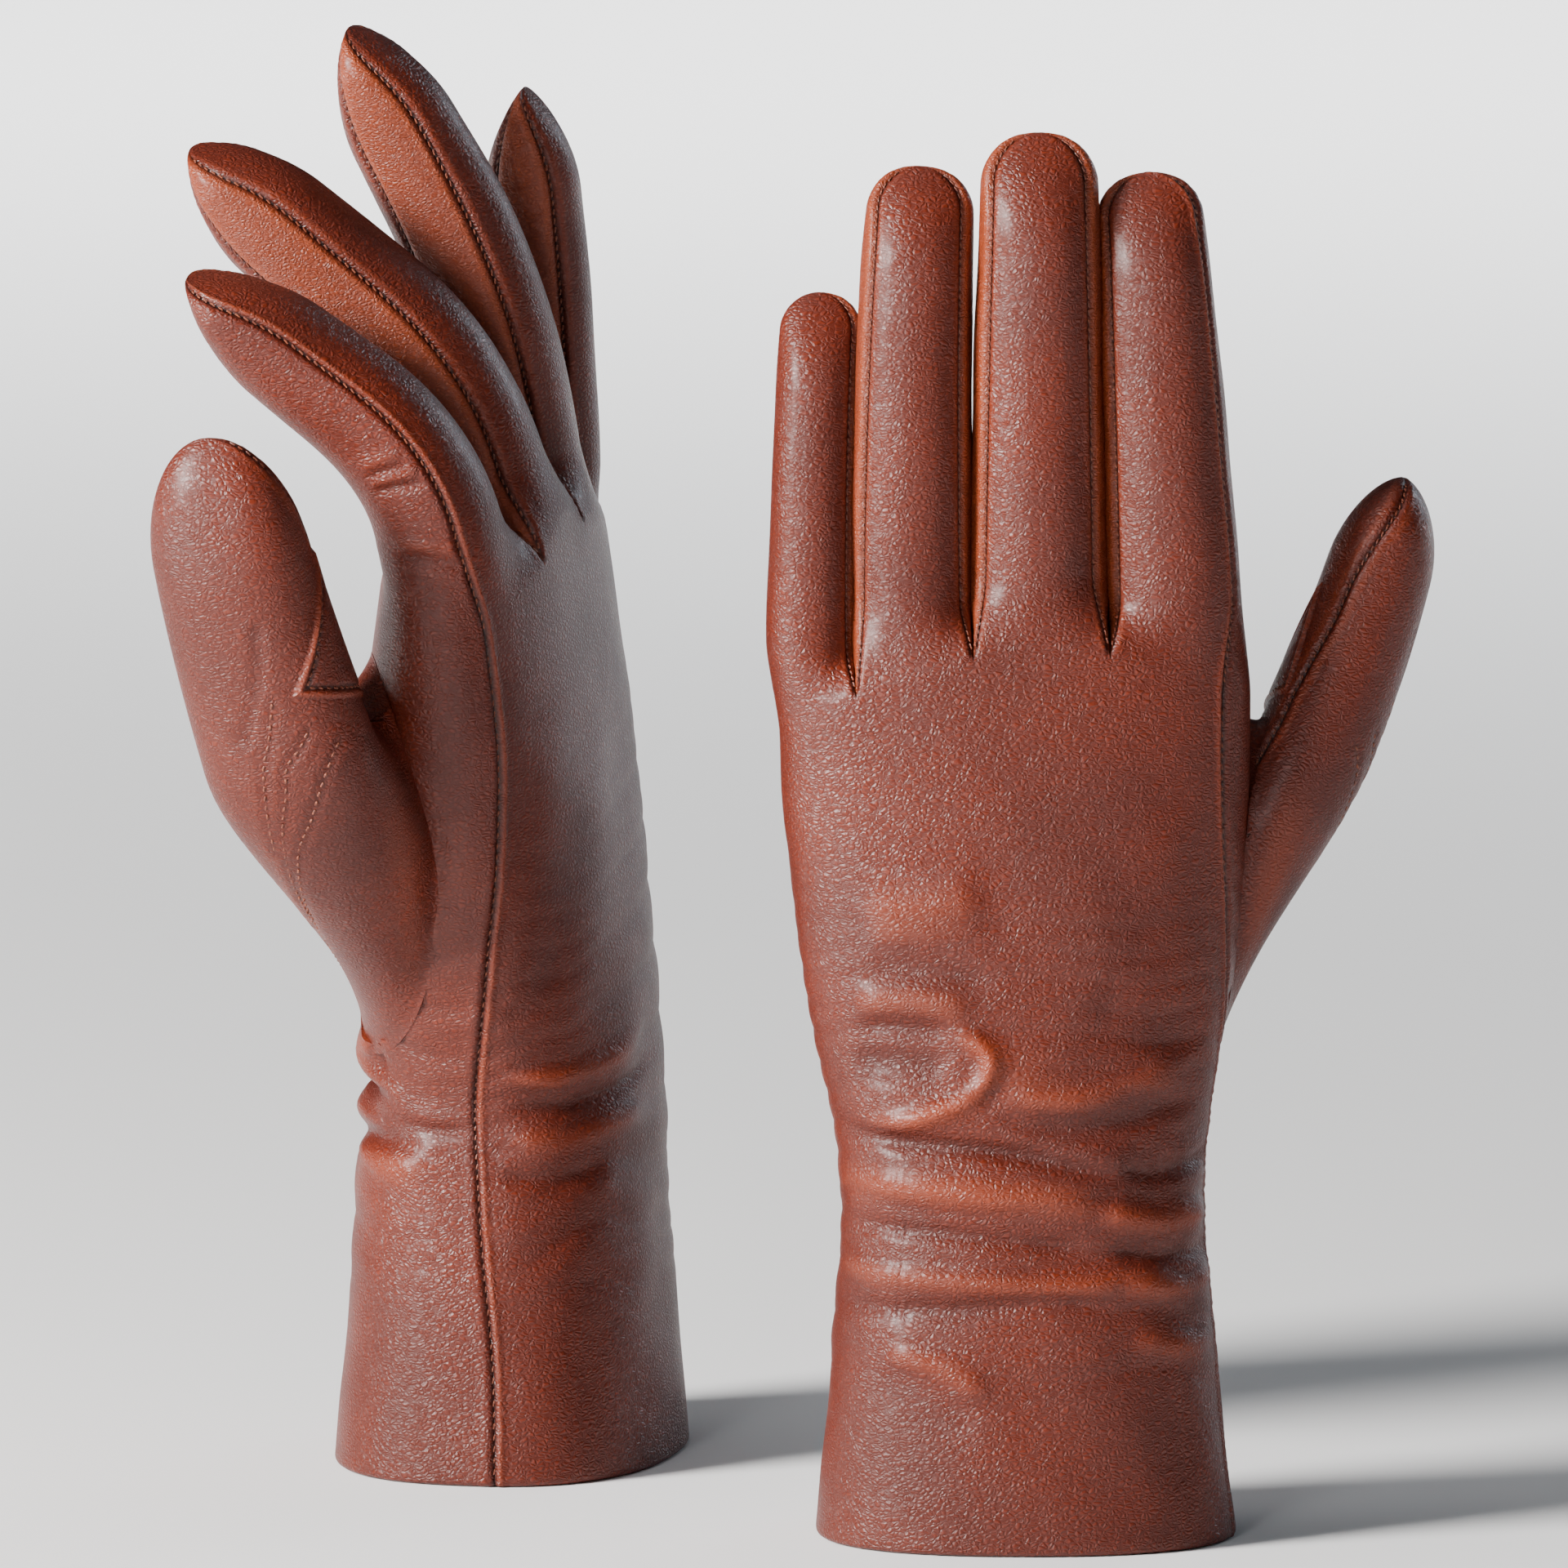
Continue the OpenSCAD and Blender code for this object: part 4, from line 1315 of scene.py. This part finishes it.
    def build_thumb(self) -> None:
        """The thumb's base on the hand, its tube with the seam that winds round it, and its thread."""
        thumb = self.fingers["thumb"]
        middle = float(self.thumb_seam_angle(np.zeros(1))[0])
        theta = spread(0.0, 360.0, [middle], 1.4, 4.0)[:-1]
        for name, z in (("thumb_base_leather", np.linspace(-BASE_SPAN, 0.0, 80)),
                        ("thumb_leather", thumb.rows(0.62, 20))):
            angle, length = np.meshgrid(theta, z)
            beside = (angle - middle + 180.0) % 360.0 - 180.0
            angle = angle + (self.thumb_seam_angle(length) - middle) * (1.0 - (beside / 180.0) ** 2) ** 2
            point = self.thumb_skin(angle, length)
            normal = outward(self.thumb_skin, angle, length, 0.05)
            step = np.linalg.norm(self.thumb_skin(angle + 0.5, length)
                                  - self.thumb_skin(angle - 0.5, length), axis=-1)
            away = np.abs((angle - self.thumb_seam_angle(length) + 180.0) % 360.0 - 180.0) * step
            tip = thumb.closing(thumb.tip_depth, np.maximum(length, 0.0) / thumb.length) ** 0.5
            # The seam mark darkens the thumb's seam groove as painted shade, and the ridge mark lightens its
            # lips as painted highlight.
            lift, seam = seam_relief(away, length)
            fade = tip * smooth((length - self.thumb_seam_start) / 5.0)
            lift, seam = lift * fade, seam * fade
            ridge = 0.5 + 0.25 * bump(away - 1.9, 0.8) * fade
            lift, ridge = self.thumb_relief(angle, length, lift, ridge)
            outer = point + normal * lift[..., None]
            inner = outer - normal * (THICK * tip)[..., None]
            points, walls = shell(outer.reshape(-1, 3), inner.reshape(-1, 3),
                                  grid_faces(*angle.shape, True))
            marks = {"seam": np.tile(seam.ravel(), 2), "ridge": np.tile(np.clip(ridge, 0, 1).ravel(), 2)}
            obj = self.piece(name, points, walls, self.finishes.leather, "leather", [name], marks)
            if name == "thumb_leather":
                self.ride_finger(obj, "thumb")
            else:
                self.ride_hand(obj)
        z = np.linspace(self.thumb_seam_start + 2.0, thumb.length - 1.0, 200)
        line = self.thumb_skin(self.thumb_seam_angle(z), z)
        normal = outward(self.thumb_skin, self.thumb_seam_angle(z), z, 0.05)
        closing = thumb.closing(thumb.tip_depth, np.maximum(z, 0.0) / thumb.length)[:, None] ** 0.5
        points, faces = stitches(line - normal * (GROOVE_DEPTH - 0.36) * closing, normal, FINGER_STITCHING)
        self.ride_finger(self.piece("thumb_seam_thread", points, faces, self.finishes.thread, "thread"),
                         "thumb")
        self.build_finger_lining("thumb")
        self.build_stitch_rows()

    def row_line(self, row: Sequence[tuple[float, float]], count: int = 160) -> Array:
        """A row of stitching on the thumb as degrees round it and lengths along it, evenly between knots."""
        given = np.array(row)
        knots = np.arange(len(given), dtype=float)
        fine = np.linspace(0.0, len(given) - 1.0, count)
        return np.stack([through(knots, given[:, 0], fine), through(knots, given[:, 1], fine)], -1)

    def build_stitch_rows(self) -> None:
        """The three rows of fine stitching that run from the quirk down over the thumb's base."""
        meshes = []
        for row in THUMB_ROWS:
            line = self.row_line(row)
            normal = outward(self.thumb_skin, line[:, 0], line[:, 1], 0.05)
            path = self.thumb_skin(line[:, 0], line[:, 1]) - 0.16 * normal
            meshes.append(stitches(path, normal, ROW_STITCHING))
        obj = self.piece("thumb_stitch_rows", *joined(meshes), self.finishes.thread, "thread")
        self.ride_finger(obj, "thumb")

    def thumb_relief(self, angle: Array, z: Array, lift: Array, ridge: Array) -> tuple[Array, Array]:
        """Soft rises over the thumb's base, the dents of its rows of stitching, and its pleat.

        Args:
            angle: Degrees round the thumb.
            z: Length along it, below 0 on the base.
            lift: Lift so far.
            ridge: Ridge mark so far.

        Returns:
            The new lift and ridge mark.
        """
        drawn = 0.35 * np.sin(np.radians(angle * 3.0) + 0.05 * z) * bump(z + 22.0, 12.0)
        where = self.thumb_skin(angle, z)
        for row in THUMB_ROWS:
            line = self.row_line(row, 90)
            gap = np.linalg.norm(where[..., None, :] - self.thumb_skin(line[:, 0], line[:, 1]), axis=-1)
            nearest, gap = gap.argmin(-1), gap.min(-1)
            pricks = 0.8 + 0.2 * np.cos(nearest * 1.2)
            drawn = drawn - 0.34 * pricks * bump(gap, 0.6) + 0.1 * bump(gap - 1.7, 0.9)
        pleat = self.thumb_skin(*self.row_line(THUMB_PLEAT, 60).T)
        gap = np.linalg.norm(where[..., None, :] - pleat, axis=-1).min(-1)
        drawn = drawn - 0.4 * bump(gap, 1.0)
        # The ridge mark follows the lift, so the finish paints shade into the stitch dents and the pleat and
        # a highlight onto the rises.
        return lift + drawn, ridge + 0.7 * drawn

    def build_quirk(self) -> None:
        """The small pointed gusset at the thumb's fork, a rounded triangle laid on the thumb.

        It is worked out in rings from its middle to its rim, raised inside and stitched near the edge.
        """
        turn = np.linspace(0.0, 2 * math.pi, 73)
        rim = self.quirk_rim(turn)
        middle = rim[:-1].mean(0)
        u = np.linspace(0.02, 1.0, 26)[:, None]
        flat = middle + u[..., None] * (rim[:-1] - middle)
        u = u + 0 * turn[:-1]
        swell = 0.62 * smooth((1.0 - u) / 0.2) - 0.05 - 0.5 * bump(u - 0.76, 0.06)
        rim = 0.3 * bump(u - 0.88, 0.06)
        inside = np.abs(u - 0.76) / 0.15
        angle, z = flat[..., 0], flat[..., 1]
        normal = outward(self.thumb_skin, angle, z, 0.05)
        outer = self.thumb_skin(angle, z) + normal * (swell + rim)[..., None]
        inner = self.thumb_skin(angle, z) - normal * 0.5
        faces = grid_faces(*angle.shape, True)
        along, round_it = outer[9, 5] - outer[8, 5], outer[8, 6] - outer[8, 5]
        if np.dot(np.cross(round_it, along), normal[8, 5]) < 0:
            faces = faces[:, ::-1]
        points, walls = shell(outer.reshape(-1, 3), inner.reshape(-1, 3), faces)
        # The seam mark darkens the stitched dent as painted shade, and the ridge mark lightens the raised rim
        # as painted highlight.
        seam = np.tile(bump(inside, 0.3).ravel(), 2)
        ridge = np.tile(np.clip(0.5 + rim, 0, 1).ravel(), 2)
        obj = self.piece("thumb_quirk", points, walls, self.finishes.leather, "leather", ["thumb_quirk"],
                         {"seam": seam, "ridge": ridge})
        self.ride_finger(obj, "thumb")
        line = middle + 0.76 * (self.quirk_rim(np.linspace(0.0, 2 * math.pi, 200)) - middle)
        normal = outward(self.thumb_skin, line[:, 0], line[:, 1], 0.05)
        path = self.thumb_skin(line[:, 0], line[:, 1]) + 0.2 * normal
        points, faces = stitches(path, normal, QUIRK_STITCHING)
        self.ride_finger(self.piece("quirk_stitches", points, faces, self.finishes.thread, "thread"), "thumb")

    def quirk_rim(self, turn: Array) -> Array:
        """The quirk's outline as degrees round the thumb and lengths along it: a rounded triangle.

        Each corner pulls with a weight that is a sharp bell of the turn away from it.
        """
        away = turn[..., None] - np.array([0.0, 2.0, 4.0]) * math.pi / 3.0
        weight = np.exp(3.2 * (np.cos(away) - 1.0))
        return (weight / weight.sum(-1, keepdims=True)) @ np.array(self.quirk_corners)

    def build(self) -> None:
        """Build every piece of the glove."""
        self.build_hand()
        self.build_cuff()
        self.build_side_seam()
        self.build_forks()
        for which in FINGER_STRIPS:
            self.build_finger(which)
        self.build_thumb()
        self.build_quirk()


def left_fingers() -> dict[str, Finger]:
    """The left glove's fingers, nearly straight and close together."""
    return {
        "thumb": Finger((51.5, 14, 140), 49.5, (10.6, 8.6), (13.5, 11.5), (24, 13), (12, 8), 1, (17, 0.6),
                        (11, 0.5)),
        "index": Finger((26.5, 0, 156), 87, (12.0, 8.9), (11.5, 9), (-2, -5), (2, 8), 1, (8, 0.5), (20, 1)),
        "middle": Finger((2, -1, 159), 91, (11.6, 9.5), (11.8, 9.2), (0, 0), (2, 6), 1, (9, 0.5), (20, 1)),
        "ring": Finger((-20.3, -0.5, 155), 89, (10.4, 8.7), (11.2, 8.8), (-1, 3), (2, 8), 1, (8, 0.5),
                       (20, 1)),
        "little": Finger((-38.3, 0.5, 147), 74.5, (7.8, 6.9), (9.8, 7.6), (-1, 4), (2, 10), 1, (7, 0.5),
                         (18, 1)),
    }


def right_fingers() -> dict[str, Finger]:
    """The right glove's fingers, curled more from the little finger to the index."""
    return {
        "thumb": Finger((54, 21, 138), 55, (10.6, 8.8), (14.5, 12.2), (4, 2), (14, 8), 1, (24, 0.8),
                        (20, 0.5)),
        "index": Finger((27, 0, 156), 73, (11.4, 8.6), (10.8, 8), (2, 10), (0, 50), 0.6, (8, 0.5), (20, 1)),
        "middle": Finger((2, -1, 159), 85, (11.2, 9.4), (11.8, 9), (0, 3), (6, 48), 0.6, (9, 0.5), (20, 1)),
        "ring": Finger((-20.3, -0.5, 155), 90, (10.2, 8.6), (11.2, 8.8), (-1, 0), (2, 27), 0.8, (8, 0.5),
                       (20, 1)),
        "little": Finger((-38.3, 0.5, 147), 77, (7.4, 6.6), (9.8, 7.6), (-5, -3), (-2, 4), 1, (7, 0.5),
                         (18, 1)),
    }


def folded(*points: tuple[float, float], side: Side = Side.BACK, width: float = 3.5,
           height: float = 1.0) -> Fold:
    """A fold from places across the hand and heights, on one of its faces."""
    turned = tuple((float(side.value * hand_angle(r, z)), z) for r, z in points)
    return Fold(turned, width, height)


LEFT_FOLDS = (
    folded((-16, 93), (-10, 91.5), (-6.5, 87.5), (-10, 81.5), (-20, 77), (-31, 74.5), width=1.9, height=1.5),
    folded((-31, 93), (-22, 93.5), (-13, 92.5), width=1.7, height=-0.9),
    folded((-32, 97), (-20, 98), (-9, 96), width=2.8, height=0.9),
    folded((-32, 87), (-22, 87), (-13, 86), width=3.4, height=-1.5),
    folded((-30, 104), (-18, 104), (-4, 101), width=2.6, height=-0.7),
    folded((-30, 112), (-18, 114), (-6, 117), width=5.5, height=1.0),
    folded((-6, 84), (4, 81), (18, 83), (31, 89), width=3.0, height=1.0),
    folded((-6, 78), (8, 76), (18, 77), (30, 81), width=2.4, height=-1.2),
    folded((-35, 75), (-22, 73), (-8, 72), (7, 69), (20, 66), width=1.7, height=-1.5),
    folded((-34, 64.5), (-18, 64.5), (0, 63), (15, 61), width=2.8, height=1.3),
    folded((-34, 58), (-18, 57), (0, 55.5), (12, 54), width=1.7, height=-1.3),
    folded((-34, 50), (-15, 48.5), (5, 47.5), (20, 49), width=2.4, height=1.2),
    folded((-34, 43), (-15, 43.5), (4, 45), (16, 44), width=1.6, height=-1.1),
    folded((-26, 36.5), (-15, 33), (-6, 28), width=2.6, height=0.9),
    folded((-30, 31), (-18, 27), (-8, 22), width=3.4, height=-0.6),
    folded((16, 69), (24, 67), (32, 70), width=1.6, height=-1.2),
    folded((12, 61), (22, 59), (32, 58), width=2.2, height=1.2),
    folded((14, 54), (24, 52.5), (32, 53), width=1.6, height=-1.1),
    folded((16, 48), (26, 46.5), (33, 47), width=2.2, height=1.0),
    folded((18, 38), (26, 36), (33, 36.5), width=2.4, height=0.8),
    folded((10, 98), (20, 94), (30, 88), width=5.0, height=-0.8),
    folded((-30, 70), (-14, 66), (4, 66), (22, 66), side=Side.PALM, width=2.0, height=-1.9),
    folded((-26, 60), (-8, 57), (10, 59), (24, 57), side=Side.PALM, width=2.2, height=-1.3),
    folded((-26, 76), (-8, 79), (10, 76), side=Side.PALM, width=2.2, height=-1.2),
    folded((-30, 98), (-16, 110), (0, 116), (14, 112), side=Side.PALM, width=3.0, height=-0.8),
)
RIGHT_FOLDS = (
    folded((-28, 66), (-8, 64), (12, 66), (29, 66), side=Side.PALM, width=1.7, height=-2.6),
    folded((-24, 57), (0, 55), (20, 57), (31, 57), side=Side.PALM, width=1.9, height=-1.7),
    folded((-20, 61), (0, 60), (20, 61.5), (30, 62), side=Side.PALM, width=2.2, height=0.9),
    folded((26, 69), (25, 78), (22, 90), side=Side.PALM, width=2.0, height=-1.4),
    folded((-20, 72), (4, 71), (20, 74), (30, 80), side=Side.PALM, width=2.8, height=1.2),
    Fold(((70, 66), (40, 62), (10, 60), (-4, 60)), 2.0, -0.9),
    Fold(((72, 71), (44, 69), (16, 66)), 2.6, 0.9),
    Fold(((66, 54), (36, 52), (8, 53)), 3.0, 0.7),
    Fold(((-10, 74), (-34, 71), (-62, 72), (-90, 74)), 2.2, 1.2),
    Fold(((-10, 66), (-34, 65), (-66, 66), (-96, 68)), 1.8, -1.2),
    Fold(((-10, 59), (-30, 58), (-60, 60), (-90, 60)), 2.4, 0.9),
    Fold(((-10, 52), (-30, 51), (-60, 52)), 1.8, -0.8),
    Fold(((-14, 84), (-30, 88), (-50, 96)), 4.0, -0.6),
    Fold(((20, 132), (34, 137), (50, 139)), 1.6, -0.7),
)


class Studio:
    """The floor, the lights and the camera."""

    aim: tuple[float, float, float] = (0.0, 0.0, 0.1273)
    distance: float = 4.0
    elevation: float = 8.0
    seen: float = 0.2815

    def build(self) -> None:
        """Make the studio."""
        self.build_floor()
        self.build_lights()
        self.build_camera()

    def build_floor(self) -> None:
        """A wide floor: a flat square grid about the pair."""
        x, y = np.meshgrid(np.linspace(-20.0, 20.0, 41) * 1000, np.linspace(-20.0, 20.0, 41) * 1000)
        points = np.stack([x, y, 0 * x - 0.2], -1)
        material = bpy.data.materials.new("Pale floor")
        material.use_nodes = True
        n = Nodes(material.node_tree)
        shader = material.node_tree.nodes["Principled BSDF"]
        cloud = n.add("ShaderNodeTexNoise", None, Scale=3.0, Detail=3.0,
                      Vector=n.add("ShaderNodeTexCoord").outputs["Object"])
        tint = n.blend(cloud.outputs[0], (0.86, 0.86, 0.87, 1), (0.89, 0.89, 0.89, 1))
        material.node_tree.links.new(tint, shader.inputs["Base Color"])
        shader.inputs["Roughness"].default_value = 0.8
        shader.inputs["Specular IOR Level"].default_value = 0.1
        faces = grid_faces(*x.shape, False)
        make_mesh("studio_floor", points.reshape(-1, 3), faces, material)

    def lamp(self, name: str, place: Sequence[float], size: float, power: float) -> bpy.types.Object:
        """A round soft lamp that looks straight down until it is turned.

        Args:
            name: The lamp's name.
            place: Where it stands, in metres.
            size: Its diameter.
            power: Its power in watts.

        Returns:
            The lamp's object.
        """
        lamp = bpy.data.lights.new(name, "AREA")
        lamp.shape, lamp.size, lamp.energy = "DISK", size, power
        obj = bpy.data.objects.new(name, lamp)
        obj.location = place
        bpy.context.scene.collection.objects.link(obj)
        return obj

    def build_lights(self) -> None:
        """A broad key from the left, a low fill, a cool rim, a top light and two rings over the floor."""
        for name, place, size, power, colour in (
                ("Key", (-1.5, -0.8, 0.9), 0.6, 122.0, (1.0, 0.97, 0.94)),
                ("Front", (-0.6, -1.8, 0.6), 0.5, 8.0, (1.0, 1.0, 1.0)),
                ("Rim", (1.2, 1.5, 0.7), 0.6, 7.0, (0.75, 0.88, 1.0)),
                ("Top", (-0.3, 0.1, 1.7), 0.8, 4.0, (1.0, 1.0, 1.0))):
            obj = self.lamp(name, place, size, power)
            obj.data.color = colour
            target = np.array([0.0, 0.0, 0.12]) - np.array(place)
            obj.rotation_euler = (math.pi / 2 + math.atan2(target[2], math.hypot(target[0], target[1])), 0.0,
                                  math.atan2(target[1], target[0]) - math.pi / 2)
        for count, reach, power in ((6, 2.5, 36.0), (10, 5.2, 210.0)):
            for step in range(count):
                turn = (step + 0.5) * 2 * math.pi / count
                place = (reach * math.cos(turn), reach * math.sin(turn), 2.2)
                self.lamp(f"Floor {count} {step}", place, 1.2, power).data.spread = math.radians(80)
        world = bpy.data.worlds.new("Surround")
        world.use_nodes = True
        back = world.node_tree.nodes["Background"]
        back.inputs["Color"].default_value = (0.9, 0.94, 1.0, 1.0)
        back.inputs["Strength"].default_value = 0.05
        bpy.context.scene.world = world

    def build_camera(self) -> None:
        """A long lens level with the palms and a little above."""
        lens = bpy.data.cameras.new("Camera")
        lens.sensor_width = 36.0
        lens.lens = 36.0 * self.distance / self.seen
        lens.clip_start, lens.clip_end = 0.1, 100.0
        camera = bpy.data.objects.new("Camera", lens)
        turn = math.radians(self.elevation)
        camera.location = (self.aim[0], self.aim[1] - self.distance * math.cos(turn),
                           self.aim[2] + self.distance * math.sin(turn))
        camera.rotation_euler = (math.pi / 2 - turn, 0.0, 0.0)
        bpy.context.scene.collection.objects.link(camera)
        bpy.context.scene.camera = camera


def main() -> None:
    """Build the studio and both gloves, and log how many pieces each glove has."""
    logging.basicConfig(level=logging.INFO, format="%(name)s: %(message)s")
    Studio().build()
    finishes = Finishes()
    left = Glove("left", False, 1.0, 0.0, 0.0, left_fingers(), (40.0, 112.0), (48.0, 36.0),
                 ((-40, 232), (-24, 232), (5.5, 232), (21, 244), (30, 249), (41, 267), (52, 286)), -30.0,
                 ((204.0, 28.0), (226.0, 5.0), (150.0, 0.0)),
                 0.8, LEFT_FOLDS, finishes)
    right = Glove("right", True, 1.08, 14.0, 10.0, right_fingers(), (46.0, 110.0), (46.0, 36.0),
                  ((-40, 238), (10, 244), (29, 252), (42, 262), (60, 276)), 24.0,
                  ((250.0, 34.0), (338.0, 11.0), (216.0, 1.0)),
                  0.5, RIGHT_FOLDS, finishes,
                  {"index": ((330.0, 384.0, 9.5), (336.0, 382.0, 23.0), (340.0, 380.0, 26.5))})
    for glove in (left, right):
        glove.build()
        LOG.info("%s glove: %d pieces", glove.name, len(glove.made))


if __name__ == "__main__":
    main()
